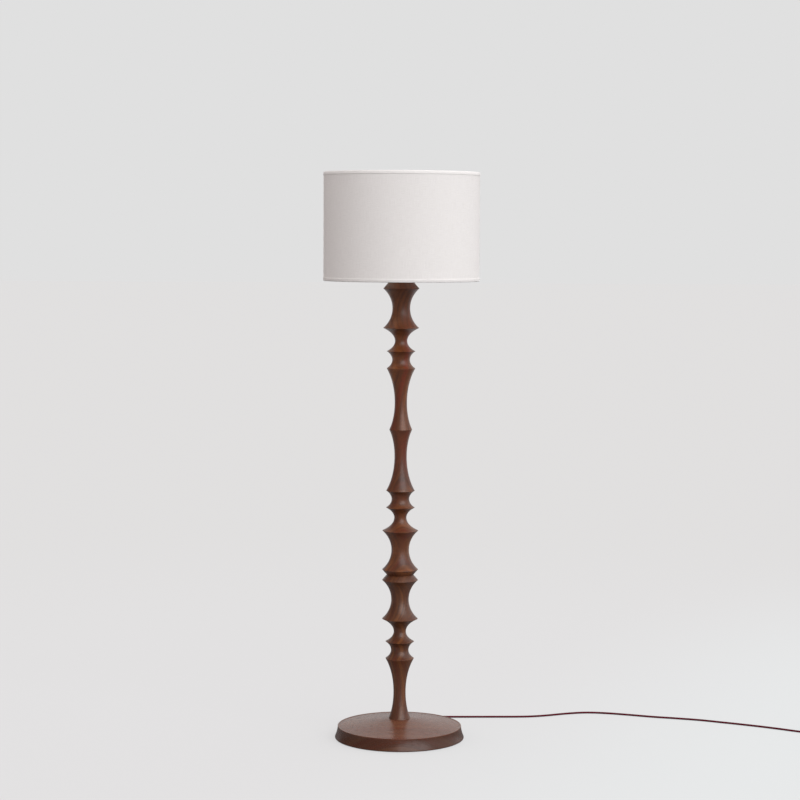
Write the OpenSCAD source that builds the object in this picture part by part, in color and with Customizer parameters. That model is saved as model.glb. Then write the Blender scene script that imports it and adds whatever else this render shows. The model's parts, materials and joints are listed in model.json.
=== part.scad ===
// Turned column floor lamp: a weighted wooden disc, a column of three turned sections drawn
// together by a hollow rod, a harp with a keyed lampholder, and a linen drum shade.
// Millimetres, +Z up. The origin is the centre of the felt's underside, on the floor.
// The harp lies in the XZ plane, the switch key points to -Y and the cord leaves at +Y.

/* [Base] */
// Radius of the base at its widest, near the floor
base_r = 188; // [170:1:230]
// Radius of the base at its top rim
base_rim_r = 180; // [160:0.5:186]
// Height of the top rim above the floor
base_rim_z = 37.5; // [35:0.5:45]
// Rise of the shallow cone from the rim to the column's foot
base_rise = 20.7; // [16:0.1:30]
// Width of the small raised lip around the top rim
rim_lip_w = 3.5; // [2:0.5:6]
// Thickness of the felt under the base
felt_t = 1.5; // [1:0.5:3]
// How far the felt stays inside the base's widest edge
felt_inset = 10; // [6:1:20]
// Radius of the recess for the ballast
recess_r = 112; // [100:1:130]
// Thickness of the ballast plate
ballast_t = 12; // [8:1:12]
// Room for the cord under the ballast plate
cord_space = 10.5; // [10.5:0.5:12]
// Radius of the nut pocket in the middle of the base
pocket_r = 34; // [32:1:40]
// Height of the pocket's roof above the floor
pocket_roof_z = 40; // [39:0.5:42]

/* [Column] */
// Largest radius of the sharp ridges
ridge_r = 52; // [44:0.5:60]
// Radius of the smaller ridges, the collars
collar_r = 41.4; // [34:0.1:43]
// Radius of the ridge where the two upper sections meet
waist_r = 33; // [26:0.5:36]
// Radius of the column's foot on the base
foot_r = 31.5; // [26:0.5:38]
// Radius at the bottom of the shallow hollows
shallow_r = 25.5; // [21:0.5:30]
// Radius at the bottom of the deep hollows
deep_r = 17.7; // [16:0.1:20]
// Length of the hollow between two large ridges
wide_cove = 113.5; // [90:0.5:130]
// Length of the deep hollow between a large ridge and a collar
neck_cove = 67; // [55:0.5:80]
// Length of the short hollow between two collars
collar_cove = 49.3; // [40:0.1:60]
// Length of the long hollow between a collar and the small end
long_cove = 177.4; // [150:0.1:200]
// Length of the slanted shoulder at a section's large end
shoulder_l = 15.5; // [10:0.5:20]
// Radius where the slanted shoulder ends
shoulder_r = 38.5; // [34:0.5:42]
// Length of the plain land on top of the column
top_land = 2.7; // [1:0.1:6]
// Radius of the spigots that centre the sections
spigot_r = 11; // [9:0.5:12]
// Length of the spigots between the sections
spigot_l = 14; // [10:1:20]
// Length of the spigot that enters the base
foot_spigot_l = 6; // [4:0.5:8]
// Radial clearance of a spigot in its socket
spigot_gap = 0.15; // [0.1:0.05:0.3]

/* [Rod] */
// Outer radius of the hollow threaded rod
rod_r = 5; // [4.5:0.1:6]
// Radius of the rod's bore
rod_bore_r = 3.7; // [3.5:0.05:4]
// Radial clearance of the wooden pieces around the rod
rod_gap = 0.6; // [0.3:0.1:1]
// Radial clearance of nuts and fittings on the rod
nut_gap = 0.05; // [0.03:0.01:0.1]
// Thickness of the nuts on the rod
nut_t = 5; // [4:0.5:6]
// Distance across the flats of the nuts
nut_flats = 17; // [15:0.5:20]

/* [Harp and lampholder] */
// Radius of the harp's wire
harp_wire_r = 2; // [1.6:0.1:2.4]
// Half the width of the saddle, at the middle of its arms
saddle_half = 32; // [30:0.5:36]
// Half the width of the harp around the bulb
harp_half = 57; // [52:0.5:62]
// Height of the harp above its saddle's arms
harp_h = 252.5; // [230:0.5:270]
// Radius of the harp's upper corners
harp_corner_r = 45; // [36:1:48]
// Radius of the bends where the harp widens
harp_bend_r = 40; // [30:1:50]
// Travel of the sleeves that lock the harp
sleeve_travel = 12; // [12:1:18]
// Running clearance of the sleeves on the harp
sleeve_gap = 0.1; // [0.06:0.01:0.1]
// Outer radius of the lampholder's shell
shell_r = 18.6; // [18.2:0.1:20]
// Height of the lampholder's shell
shell_h = 40; // [38:1:46]
// Radius of the bulb's screw cap
bulb_cap_r = 13.1; // [12.8:0.1:13.3]
// Largest radius of the bulb
bulb_r = 30; // [26:1:35]

/* [Shade] */
// Outer radius of the shade over its trims
shade_r = 225; // [190:1:260]
// Height of the shade
shade_h = 311; // [280:1:330]
// Height of the shade's top above the top of the harp's seat
spider_drop = 36.1; // [34:0.1:50]
// Thickness of the linen
fabric_t = 0.8; // [0.6:0.1:1.2]
// Thickness of the stiff liner behind the linen
liner_t = 1; // [0.8:0.1:1.5]
// Width of the linen trims at the top and bottom
trim_w = 10; // [8:0.5:14]
// Thickness of the trims
trim_t = 0.6; // [0.4:0.1:1]
// Radius of the ring wire
ring_wire_r = 1.6; // [1.4:0.1:2]
// Number of the spider's arms
arms = 3; // [3:1:4]

/* [Cord] */
// Diameter of the textile cord
cord_d = 6; // [5.6:0.1:6]
// Height of the cord's middle where it leaves the base
exit_z = 8; // [7.5:0.1:8]
// Bend radius of the cord inside the base
inner_bend_r = 24; // [24:1:26]
// Length of the tapered strain relief outside the base
relief_l = 25.8; // [20:0.1:40]

/* [Hidden] */
$fn = 72;
eps = 0.01;
walnut = "#5a3527";
walnut_dark = "#4b2c21";
brass = "#b08d4a";
steel = "#9a9a98";
linen = "#e9e4df";
burgundy = "#5e1c26";

// ---- Base, worked out from the driving sizes
base_top_z = base_rim_z + base_rise;
felt_r = base_r - felt_inset;
recess_roof_z = felt_t + cord_space + ballast_t;
plate_gap = 4;
plate_r = recess_r - plate_gap;
plate_bore_r = pocket_r + 2;
plate_z = recess_roof_z - ballast_t;
screw_circle_r = (plate_r + plate_bore_r) / 2;
screws = 4;
screw_r = 2.1;
screw_hole_gap = 0.3;
screw_bite = 12;
screw_head_r = 4.2;
screw_head_t = 2.6;
washer_r = 15;
washer_t = 2;
nut_corner_r = nut_flats / 2 / cos(30);
rod_tail = 2;
rod_bottom_z = pocket_roof_z - washer_t - nut_t - rod_tail;
foot_edge = 1.2;
rim_edge = 1;
rim_step = 0.8;
foot_ring = 6;
foot_ring_drop = 0.6;
side_cove_r = 40;
side_lean = 23;
side_top = 7;
side_r = max(base_r, base_rim_r + side_cove_r * (1 - cos(side_lean)));
heel_r = 2.5;

// ---- Cord through the base
cord_r = cord_d / 2;
cord_gap = 0.1;
bush_r = 4.9;
bush_l = 22;
collar_relief_r = 6.3;
collar_relief_t = 2;
relief_seat = 0.2;
relief_seat_y = side_r + relief_seat;
relief_tip_y = relief_seat_y + collar_relief_t + relief_l;
relief_tip_r = cord_r + 0.9;
groove_r = bush_r + 0.3;
clamp_t = 0.9;
clamp_w = 12;
clamp_y = (pocket_r + screw_circle_r) / 2 + 8;
clamp_ear = 12;
clamp_screw_x = 9;
clamp_screw_r = 1.5;
clamp_head_r = 2.8;
clamp_head_t = 1.8;
clamp_bite = 6;

// ---- Column: every section has the same run of hollows and ridges
fullness = 0.75;
steps = 8;
lean = 0.56;
section_l = long_cove + collar_cove + neck_cove + wide_cove;
lower_top_z = base_top_z + section_l + shoulder_l;
waist_z = lower_top_z + shoulder_l + section_l;
column_top_z = waist_z + section_l + shoulder_l + top_land;
rod_hole_r = rod_r + rod_gap;
socket_deep = 0.3;

// ---- Top fitting, stacked on the column
check_t = 3;
check_r = 22;
check_side = 1.2;
check_bevel = 4;
saddle_z = column_top_z + check_t;
saddle_t = 2;
saddle_w = 12;
saddle_arm_h = 14;
peg_z = saddle_z + saddle_t + saddle_arm_h;
peg_l = 11;
lock_nut_t = 4;
lock_nut_z = saddle_z + saddle_t;
cap_z = lock_nut_z + lock_nut_t + 0.2;
cap_neck_h = 8;
cap_neck_r = 8;
cap_cone_h = 12;
cap_rim_h = 4;
cap_wall = 0.8;
cap_r = shell_r + 0.1 + cap_wall;
cap_top_z = cap_z + cap_neck_h + cap_cone_h + cap_rim_h;
rod_top_z = cap_z + cap_neck_h + 6;
shell_wall = 0.6;
shell_z = cap_top_z - cap_rim_h + 1;
shell_lip_r = shell_r - 2;
shell_bead = 1;
liner_gap = 0.1;
socket_liner_t = 0.9;
socket_liner_r = shell_r - shell_wall - liner_gap;
body_r = socket_liner_r - socket_liner_t - liner_gap;
body_z = shell_z + 2;
body_h = 9;
body_flat_x = body_r - 3.8;
key_z = body_z + body_h / 2;
key_r = 2;
key_gap = 0.05;
key_slot_r = key_r + 1;
key_tail_y = 7;
key_l = 26;
key_paddle_w = 18;
key_paddle_h = 10;
key_paddle_t = 3;
contact_t = 2;
contact_r = 3.5;
touch_gap = 0.3;
screw_shell_t = 0.5;
screw_shell_r = bulb_cap_r + touch_gap + screw_shell_t;
screw_shell_h = 24;
screw_shell_z = body_z + body_h;
tip_z = screw_shell_z + contact_t + touch_gap;
tip_h = 3;
tip_r = 4.5;
bulb_cap_h = 25;
bulb_cap_wall = 0.5;
bulb_cap_top_z = tip_z + tip_h + bulb_cap_h;
neck_r = bulb_cap_r - bulb_cap_wall - 0.2;
neck_sunk = 7;
neck_z = bulb_cap_top_z - neck_sunk;
neck_h = neck_sunk + 8;
bulb_lean = 35;
bulb_flank_h = (bulb_r * cos(bulb_lean) - neck_r) / tan(bulb_lean);
bulb_centre_z = neck_z + neck_h + bulb_flank_h + bulb_r * sin(bulb_lean);
glass_t = 0.9;
terminal_r = 2.6;
terminal_t = 2.3;
terminal_shank_r = 1.5;
terminal_bite = 5;
lead_r = 1;
lead_bend_r = 3;
lead_x = 1.6;
lead_z = body_z - 3;
cord_end_z = lead_z - lead_bend_r;

// ---- Harp
harp_sides = 16;
sleeve_l = 22;
sleeve_wall = 1.6;
leg_z = peg_z + peg_l;
leg_l = sleeve_l + sleeve_travel + touch_gap - peg_l + 1;
spread = acos(1 - (harp_half - saddle_half) / (2 * harp_bend_r));
spread_h = 2 * harp_bend_r * sin(spread);
harp_top_z = peg_z + harp_h;
corner_z = harp_top_z - harp_corner_r;
sleeve_z = peg_z + touch_gap;
sleeve_r = harp_wire_r + sleeve_gap + sleeve_wall;
post_r = 6;
post_grip = 2.4;
seat_r = 9.5;
seat_t = 2.5;
seat_z = harp_top_z + harp_wire_r + post_grip;
seat_top_z = seat_z + seat_t;
stud_r = 3.1;
stud_l = 20;

// ---- Shade, hung by its hub on the harp's seat
shade_top_z = seat_top_z + spider_drop;
shade_bottom_z = shade_top_z - shade_h;
skin_gap = 0.12;
trim_inner_r = shade_r - trim_t;
fabric_r = trim_inner_r - skin_gap;
liner_r = fabric_r - fabric_t - skin_gap;
liner_in_r = liner_r - liner_t;
ring_r = liner_in_r - skin_gap - ring_wire_r;
trim_fold_r = ring_r - ring_wire_r - 2 * skin_gap;
fold_w = 2 * ring_wire_r + trim_t + 3;
ring_inset = trim_t + skin_gap + ring_wire_r;
skin_z = shade_bottom_z + trim_t + skin_gap;
skin_h = shade_h - 2 * (trim_t + skin_gap);
hub_r = 12;
hub_t = 2;
hub_z = seat_top_z + touch_gap;
hub_hole_r = stud_r + touch_gap;
arm_wire_r = ring_wire_r - 0.15;
arm_bend_r = 12;
arm_z = hub_z + hub_t / 2;

// ---- Finial
finial_z = hub_z + hub_t + touch_gap;
finial_foot_r = 9;
finial_foot_t = 2.5;
finial_neck_z = finial_z + 6;
finial_room = 2.5;
finial_gap = 0.07;
finial_neck_r = 4.6;
finial_ball_r = 7.5;
finial_h = 27;

// ---- Coil: two layers, spiralling in below and out again above
coil_sides = 6;
coil_rings = 24;
coil_turns = 5.5;
coil_gap = 0.6;
coil_pitch = cord_d + coil_gap;
coil_lift = cord_d + 0.5;
coil_in_r = 25.5;
coil_out_r = coil_in_r + coil_pitch * coil_turns / 2;
coil_centre = [1264, 90];
coil_start_a = -122;
coil_z = 4.1;
coil_start = coil_point(0);
coil_heading = [cos(coil_start_a + 90), sin(coil_start_a + 90), 0];
coil_end = coil_point(coil_turns);
coil_tail = [-coil_heading[0], -coil_heading[1], 0];
coil_tail_l = cord_d + 10;
tail_end = coil_end + coil_tail_l * coil_tail;

// ---- Free cord: exit, bend behind the base, the lazy wave to the right, then the coil
route = [
    [0, 216, 8], [0, 224, 7.6], [4, 238, 5.6], [14, 252, 3.8], [30, 263, 3.1], [52, 268, 3.1],
    [90, 267, 3.1], [150, 265, 3.1], [210, 266, 3.1], [280, 268, 3.1], [350, 270, 3.1],
    [400, 275, 3.1], [450, 290, 3.1], [510, 316, 3.1], [570, 332, 3.1], [630, 326, 3.1],
    [700, 304, 3.1], [770, 278, 3.1], [840, 258, 3.1], [910, 235, 3.1], [970, 207, 3.1],
    [1030, 178, 3.1], [1090, 146, 3.1], [1140, 116, 3.1], [1180, 90, 3.1], [1210, 71, 3.6]
];
route_end = coil_start - cord_d * coil_heading;
cord_path = concat(route, [route_end - cord_d * coil_heading, route_end]);
cord_sides = 8;
rings_per_span = 3;

// ---- Tie round the coil
tie_a = -30;
tie_w = 12;
tie_t = 0.9;
tie_gap = 0.55;

// ---- Plug at the end of the coil's tail
plug_w = 25;
plug_h = 2 * (coil_z + coil_lift);
plug_l = 34;
plug_neck_l = 16;
plug_neck_r = 6;
plug_corner = 4;
blade_w = 6.3;
blade_t = 1.5;
blade_l = 17;
blade_apart = 12.7;

// ================================================================ Shared helpers

// Points of an arc in a drawing plane.
function arc(cx, cy, r, from, to, n) =
    [for (i = [0 : n]) let (a = from + (to - from) * i / n) [cx + r * cos(a), cy + r * sin(a)]];

// One step of a hollow's swell: 0 at its lowest point, 1 at the ridge.
function swell(t) = (1 - sqrt(1 - pow(fullness * t, 2))) / (1 - sqrt(1 - pow(fullness, 2)));

// A hollow from ridge r0 at height z0 to ridge r1 at height z1, lowest at the given share.
function hollow(z0, r0, z1, r1, low_r, share) =
    let (zm = z0 + (z1 - z0) * share)
    concat(
        [for (i = [steps : -1 : 0]) let (t = i / steps)
            [low_r + (r0 - low_r) * swell(t), zm - (zm - z0) * t]],
        [for (i = [1 : steps - 1]) let (t = i / steps)
            [low_r + (r1 - low_r) * swell(t), zm + (z1 - zm) * t]]);

// The turned outline of one section, from its small end up to the end of its shoulder.
function section_outline(end_r) =
    let (z1 = long_cove, z2 = z1 + collar_cove, z3 = z2 + neck_cove, z4 = z3 + wide_cove)
    concat(
        hollow(0, end_r, z1, collar_r, deep_r, 1 - lean),
        hollow(z1, collar_r, z2, collar_r, shallow_r, 0.5),
        hollow(z2, collar_r, z3, ridge_r, deep_r, 1 - lean),
        hollow(z3, ridge_r, z4, ridge_r, shallow_r, 0.5),
        [[ridge_r, z4], [shoulder_r, z4 + shoulder_l]]);

// A smooth curve through the points, each span cut into n pieces, passing every point.
function curve_at(p, i, t) =
    let (
        last = len(p) - 1,
        a = p[max(i - 1, 0)],
        b = p[i],
        c = p[i + 1],
        d = p[min(i + 2, last)])
    0.5 * (2 * b + (c - a) * t + (2 * a - 5 * b + 4 * c - d) * t * t
        + (3 * b - a - 3 * c + d) * t * t * t);
function curve_through(p, n) =
    concat([for (i = [0 : len(p) - 2]) for (k = [0 : n - 1]) curve_at(p, i, k / n)],
        [p[len(p) - 1]]);

function unit(v) = v / norm(v);
function tangent(p, i, first, last) =
    i == 0 ? first : i == len(p) - 1 ? last : unit(p[i + 1] - p[i - 1]);

// A tube of triangles swept along points, square to the given end directions. No stretch of
// it runs along the direction named across.
module tube(p, r, sides, first, last, across = [0, 0, 1]) {
    rings = [for (i = [0 : len(p) - 1])
        let (
            t = tangent(p, i, first, last),
            side = unit(cross(t, across)),
            up = cross(side, t))
        [for (j = [0 : sides - 1]) let (a = 360 * (j + 0.5) / sides)
            p[i] + r * cos(a) * side + r * sin(a) * up]];
    count = len(p);
    walls = [for (i = [0 : count - 2]) for (j = [0 : sides - 1])
        let (k = (j + 1) % sides, a = i * sides, b = (i + 1) * sides)
        each [[a + j, b + k, a + k], [a + j, b + j, b + k]]];
    end = (count - 1) * sides;
    caps = [for (j = [1 : sides - 2]) each [[0, j, j + 1], [end, end + j + 1, end + j]]];
    polyhedron(points = [for (ring = rings) each ring], faces = concat(walls, caps), convexity = 10);
}

// A tube with a round bore, standing on z.
module ring_tube(z, h, out_r, in_r) {
    translate([0, 0, z]) difference() {
        cylinder(r = out_r, h = h);
        translate([0, 0, -1]) cylinder(r = in_r, h = h + 2);
    }
}

// A round wire bent in the XZ plane about a centre.
module wire_bend(x, z, bend_r, wire_r, from, sweep) {
    translate([x, 0, z]) rotate([90, 0, 0]) rotate([0, 0, from])
        rotate_extrude(angle = sweep) translate([bend_r, 0]) circle(r = wire_r, $fn = 32);
}

// A hexagon nut on the rod.
module rod_nut(z, t) {
    translate([0, 0, z]) difference() {
        cylinder(r = nut_corner_r, h = t, $fn = 6);
        translate([0, 0, -1]) cylinder(r = rod_r + nut_gap, h = t + 2);
    }
}

// Places its children at each ballast screw, in the XY plane.
module at_screws() {
    for (i = [0 : screws - 1]) rotate([0, 0, 45 + 360 * i / screws])
        translate([screw_circle_r, 0, 0]) children();
}

// ================================================================ Base

module felt_pad() {
    color("#2b2724") cylinder(r = felt_r, h = felt_t);
}

// Upright side, a cove that flares out, a straight lean and a rounded heel.
function base_outline() =
    let (
        side_z = base_rim_z - side_top,
        cove = arc(base_rim_r + side_cove_r, side_z, side_cove_r, 180, 180 + side_lean, 4))
    concat(
        [[base_r - heel_r, felt_t]],
        arc(base_r - heel_r, felt_t + heel_r, heel_r, -90, side_lean, 8),
        [for (i = [4 : -1 : 0]) cove[i]],
        [[base_rim_r, base_rim_z - rim_edge], [base_rim_r - rim_edge, base_rim_z],
         [base_rim_r - rim_lip_w, base_rim_z],
         [base_rim_r - rim_lip_w - rim_edge, base_rim_z - rim_step],
         [foot_r + foot_ring, base_top_z - foot_ring_drop], [foot_r + foot_edge, base_top_z]]);

module base_disc() {
    color(walnut) difference() {
        rotate_extrude() polygon(concat(
            base_outline(),
            [[0, base_top_z], [0, pocket_roof_z], [pocket_r, pocket_roof_z],
             [pocket_r, recess_roof_z], [recess_r, recess_roof_z], [recess_r, felt_t]]));
        translate([0, 0, pocket_roof_z - 1]) cylinder(r = rod_hole_r, h = base_rise + base_rim_z);
        translate([0, 0, base_top_z - foot_spigot_l - socket_deep])
            cylinder(r = spigot_r + spigot_gap, h = foot_spigot_l + 1);
        translate([0, recess_r - 4, exit_z]) rotate([-90, 0, 0])
            cylinder(r = groove_r, h = side_r - recess_r + 10);
        translate([-groove_r, recess_r - 4, felt_t - 2])
            cube([2 * groove_r, side_r - recess_r + 10, exit_z - felt_t + 2]);
        at_screws() translate([0, 0, recess_roof_z - 1])
            cylinder(r = screw_r + nut_gap, h = screw_bite + 2);
    }
}

module ballast_plate() {
    color("#3a3b3d") difference() {
        ring_tube(plate_z, ballast_t, plate_r, plate_bore_r);
        at_screws() translate([0, 0, plate_z - 1])
            cylinder(r = screw_r + screw_hole_gap, h = ballast_t + 2);
        for (side = [-1, 1]) translate([side * clamp_screw_x, clamp_y, plate_z - 1])
            cylinder(r = clamp_screw_r + nut_gap, h = clamp_bite + 1);
    }
}

module ballast_screws() {
    color(steel) at_screws() {
        translate([0, 0, plate_z - screw_head_t]) cylinder(r = screw_head_r, h = screw_head_t);
        translate([0, 0, plate_z - 1]) cylinder(r = screw_r, h = ballast_t + screw_bite + 1);
    }
}

module base_washer() {
    color(steel) ring_tube(pocket_roof_z - washer_t, washer_t, washer_r, rod_r + rod_gap);
}

module base_nut() {
    color(brass) rod_nut(pocket_roof_z - washer_t - nut_t, nut_t);
}

// A strap bent over the cord, held to the ballast plate by two screws.
module cord_clamp() {
    strap_r = cord_r + cord_gap + clamp_t;
    color(steel) difference() {
        translate([0, clamp_y + clamp_w / 2, 0]) rotate([90, 0, 0]) linear_extrude(clamp_w)
            difference() {
                union() {
                    translate([0, exit_z]) circle(r = strap_r);
                    translate([-strap_r, exit_z]) square([2 * strap_r, plate_z - exit_z]);
                    translate([-clamp_ear, plate_z - clamp_t]) square([2 * clamp_ear, clamp_t]);
                }
                translate([0, exit_z]) circle(r = cord_r + cord_gap);
                translate([-cord_r - cord_gap, exit_z])
                    square([2 * (cord_r + cord_gap), plate_z - exit_z + 1]);
            }
        for (side = [-1, 1]) translate([side * clamp_screw_x, clamp_y, 0])
            cylinder(r = clamp_screw_r + nut_gap, h = base_rim_z);
    }
}

module clamp_screws() {
    color(steel) for (side = [-1, 1]) translate([side * clamp_screw_x, clamp_y, plate_z - clamp_t]) {
        translate([0, 0, -clamp_head_t]) cylinder(r = clamp_head_r, h = clamp_head_t);
        translate([0, 0, -1]) cylinder(r = clamp_screw_r, h = clamp_t + clamp_bite);
    }
}

// A rubber bush in the groove, a collar on the base's side and a tapered tail on the cord.
module strain_relief() {
    color("#241a18") translate([0, 0, exit_z]) rotate([-90, 0, 0]) difference() {
        rotate_extrude() polygon([
            [0, side_r - bush_l], [bush_r, side_r - bush_l], [bush_r, relief_seat_y],
            [collar_relief_r, relief_seat_y], [collar_relief_r, relief_seat_y + collar_relief_t],
            [bush_r, relief_seat_y + collar_relief_t],
            [relief_tip_r, relief_tip_y], [0, relief_tip_y]]);
        translate([0, 0, side_r - bush_l - 1]) cylinder(r = cord_r + cord_gap, h = relief_tip_y);
    }
}

// The cord's held length: along the base, up the rod and into the lampholder's cap.
module inner_cord() {
    color(burgundy) {
        translate([0, inner_bend_r, exit_z]) rotate([-90, 0, 0])
            cylinder(r = cord_r, h = relief_tip_y - inner_bend_r);
        rotate([0, 0, 90]) wire_bend(inner_bend_r, exit_z + inner_bend_r, inner_bend_r, cord_r, 180, 90);
        translate([0, 0, exit_z + inner_bend_r])
            cylinder(r = cord_r, h = cord_end_z - exit_z - inner_bend_r);
    }
}

// ================================================================ Column

module turned_section(end_r, land) {
    difference() {
        rotate_extrude() polygon(concat(
            [[0, 0]],
            section_outline(end_r),
            land > 0 ? [[shoulder_r, section_l + shoulder_l + land]] : [],
            [[0, section_l + shoulder_l + land]]));
        translate([0, 0, -1]) cylinder(r = rod_hole_r, h = section_l + shoulder_l + land + 2);
    }
}

module spigot(z, l) {
    ring_tube(z, l, spigot_r, rod_hole_r);
}

module spigot_socket(z) {
    translate([0, 0, z]) cylinder(r = spigot_r + spigot_gap, h = spigot_l + socket_deep + eps);
}

module column_lower() {
    color(walnut) {
        translate([0, 0, base_top_z]) difference() {
            turned_section(foot_r, 0);
            spigot_socket(section_l + shoulder_l - spigot_l - socket_deep);
        }
        spigot(base_top_z - foot_spigot_l, foot_spigot_l + eps);
    }
}

module column_middle() {
    color(walnut_dark) {
        difference() {
            translate([0, 0, waist_z]) mirror([0, 0, 1]) turned_section(waist_r, 0);
            spigot_socket(waist_z - spigot_l - socket_deep);
        }
        spigot(lower_top_z - spigot_l, spigot_l + eps);
    }
}

module column_upper() {
    color(walnut) {
        translate([0, 0, waist_z]) turned_section(waist_r, top_land);
        spigot(waist_z - spigot_l, spigot_l + eps);
    }
}

module threaded_rod() {
    color(brass) ring_tube(rod_bottom_z, rod_top_z - rod_bottom_z, rod_r, rod_bore_r);
}

module check_ring() {
    color(brass) difference() {
        rotate_extrude() polygon([
            [0, column_top_z], [check_r, column_top_z], [check_r, column_top_z + check_side],
            [check_r - check_bevel, saddle_z], [0, saddle_z]]);
        translate([0, 0, column_top_z - 1]) cylinder(r = rod_r + nut_gap, h = check_t + 2);
    }
}

// ================================================================ Harp

// A steel strap with two upright arms, each ending in a round peg.
module harp_saddle() {
    color(brass) {
        difference() {
            translate([-saddle_half - saddle_t, -saddle_w / 2, saddle_z])
                cube([2 * (saddle_half + saddle_t), saddle_w, saddle_t]);
            translate([0, 0, saddle_z - 1]) cylinder(r = rod_r + nut_gap, h = saddle_t + 2);
        }
        for (side = [-1, 1]) {
            translate([side * saddle_half - saddle_t, -saddle_w / 2, saddle_z + saddle_t / 2])
                cube([2 * saddle_t, saddle_w, saddle_arm_h + saddle_t / 2]);
            translate([side * saddle_half, 0, peg_z - 1]) cylinder(r = harp_wire_r, h = peg_l + 1);
        }
    }
}

module lock_nut() {
    color(steel) rod_nut(lock_nut_z, lock_nut_t);
}

// One side of the harp's middle line, from its foot to the end of its upper corner.
spread_z = leg_z + leg_l;
harp_side_line = concat(
    [[saddle_half, leg_z]],
    arc(saddle_half + harp_bend_r, spread_z, harp_bend_r, 180, 180 - spread, 6),
    [for (i = [1 : 6])
        arc(harp_half - harp_bend_r, spread_z + spread_h, harp_bend_r, -spread, 0, 6)[i]],
    arc(harp_half - harp_corner_r, corner_z, harp_corner_r, 0, 90, 10));
harp_line = concat(
    [for (p = harp_side_line) [p[0], 0, p[1]]],
    [for (i = [len(harp_side_line) - 1 : -1 : 0]) [-harp_side_line[i][0], 0, harp_side_line[i][1]]]);

module harp() {
    color(brass) tube(harp_line, harp_wire_r, harp_sides, [0, 0, 1], [0, 0, -1], [0, 1, 0]);
}

// A locking sleeve over the joint between a peg and the harp's leg.
module harp_sleeve(side) {
    color(brass) translate([side * saddle_half, 0, 0])
        ring_tube(sleeve_z, sleeve_l, sleeve_r, harp_wire_r + sleeve_gap);
}

module harp_sleeve_left() {
    harp_sleeve(-1);
}

module harp_sleeve_right() {
    harp_sleeve(1);
}

// A block gripping the harp's top, with the shade's seat and the threaded stud.
module harp_post() {
    bottom = harp_top_z - harp_wire_r - post_grip;
    color(brass) {
        difference() {
            translate([0, 0, bottom]) cylinder(r = post_r, h = seat_z - bottom + eps);
            translate([-post_r - 1, 0, harp_top_z]) rotate([0, 90, 0])
                cylinder(r = harp_wire_r + nut_gap, h = 2 * post_r + 2, $fn = 32);
        }
        translate([0, 0, seat_z]) cylinder(r = seat_r, h = seat_t);
        translate([0, 0, seat_z]) cylinder(r = stud_r, h = seat_t + stud_l);
    }
}

// ================================================================ Lampholder and bulb

module socket_cap() {
    cone_z = cap_z + cap_neck_h;
    rim_z = cone_z + cap_cone_h;
    color(brass) difference() {
        rotate_extrude() polygon([
            [0, cap_z], [cap_neck_r, cap_z], [cap_neck_r, cone_z], [cap_r, rim_z],
            [cap_r, cap_top_z], [cap_r - cap_wall, cap_top_z], [cap_r - cap_wall, rim_z],
            [cap_neck_r - cap_wall, cone_z + cap_wall], [0, cone_z + cap_wall]]);
        translate([0, 0, cap_z - 1]) cylinder(r = rod_r + nut_gap, h = cap_neck_h + 3);
    }
}

// A spun shell with a rolled lip and a hole for the key.
module socket_shell() {
    color(brass) difference() {
        rotate_extrude() polygon([
            [shell_r - shell_wall, shell_z], [shell_r, shell_z], [shell_r, shell_z + shell_h - shell_bead],
            [shell_r - shell_bead, shell_z + shell_h], [shell_lip_r, shell_z + shell_h],
            [shell_lip_r, shell_z + shell_h - shell_wall],
            [shell_r - shell_wall, shell_z + shell_h - 2 * shell_wall]]);
        translate([0, 0, key_z]) rotate([90, 0, 0]) cylinder(r = key_slot_r, h = shell_r + 2);
    }
}

module socket_liner() {
    color("#8a6f55") difference() {
        ring_tube(body_z, shell_z + shell_h - 2 * shell_bead - body_z, socket_liner_r,
            socket_liner_r - socket_liner_t);
        translate([0, 0, key_z]) rotate([90, 0, 0]) cylinder(r = key_slot_r, h = shell_r + 2);
    }
}

// A moulded block with two flats for the terminals and the key's bearing.
module socket_body() {
    color("#1d1b1a") difference() {
        translate([0, 0, body_z]) cylinder(r = body_r, h = body_h);
        for (side = [0, 1]) mirror([side, 0, 0])
            translate([body_flat_x, -body_r, body_z - 1]) cube([body_r, 2 * body_r, body_h + 2]);
        translate([0, -key_tail_y + 1, key_z]) rotate([90, 0, 0])
            cylinder(r = key_r + key_gap, h = body_r);
        for (side = [-1, 1]) translate([0, 0, key_z]) rotate([0, side * 90, 0])
            translate([0, 0, body_flat_x - terminal_bite])
                cylinder(r = terminal_shank_r + nut_gap, h = terminal_bite + 1);
    }
}

module screw_shell() {
    color(brass) ring_tube(screw_shell_z, screw_shell_h, screw_shell_r,
        screw_shell_r - screw_shell_t);
}

module centre_contact() {
    color(brass) translate([0, 0, screw_shell_z]) {
        cylinder(r = contact_r, h = contact_t);
        translate([0, -contact_r / 2, 0]) cube([2.4 * contact_r, contact_r, contact_t / 3]);
    }
}

module terminal_screws() {
    color(brass) for (side = [-1, 1]) translate([0, 0, key_z]) rotate([0, side * 90, 0]) {
        translate([0, 0, body_flat_x]) cylinder(r = terminal_r, h = terminal_t);
        translate([0, 0, body_flat_x - terminal_bite + 0.5])
            cylinder(r = terminal_shank_r, h = terminal_bite);
    }
}

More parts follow.
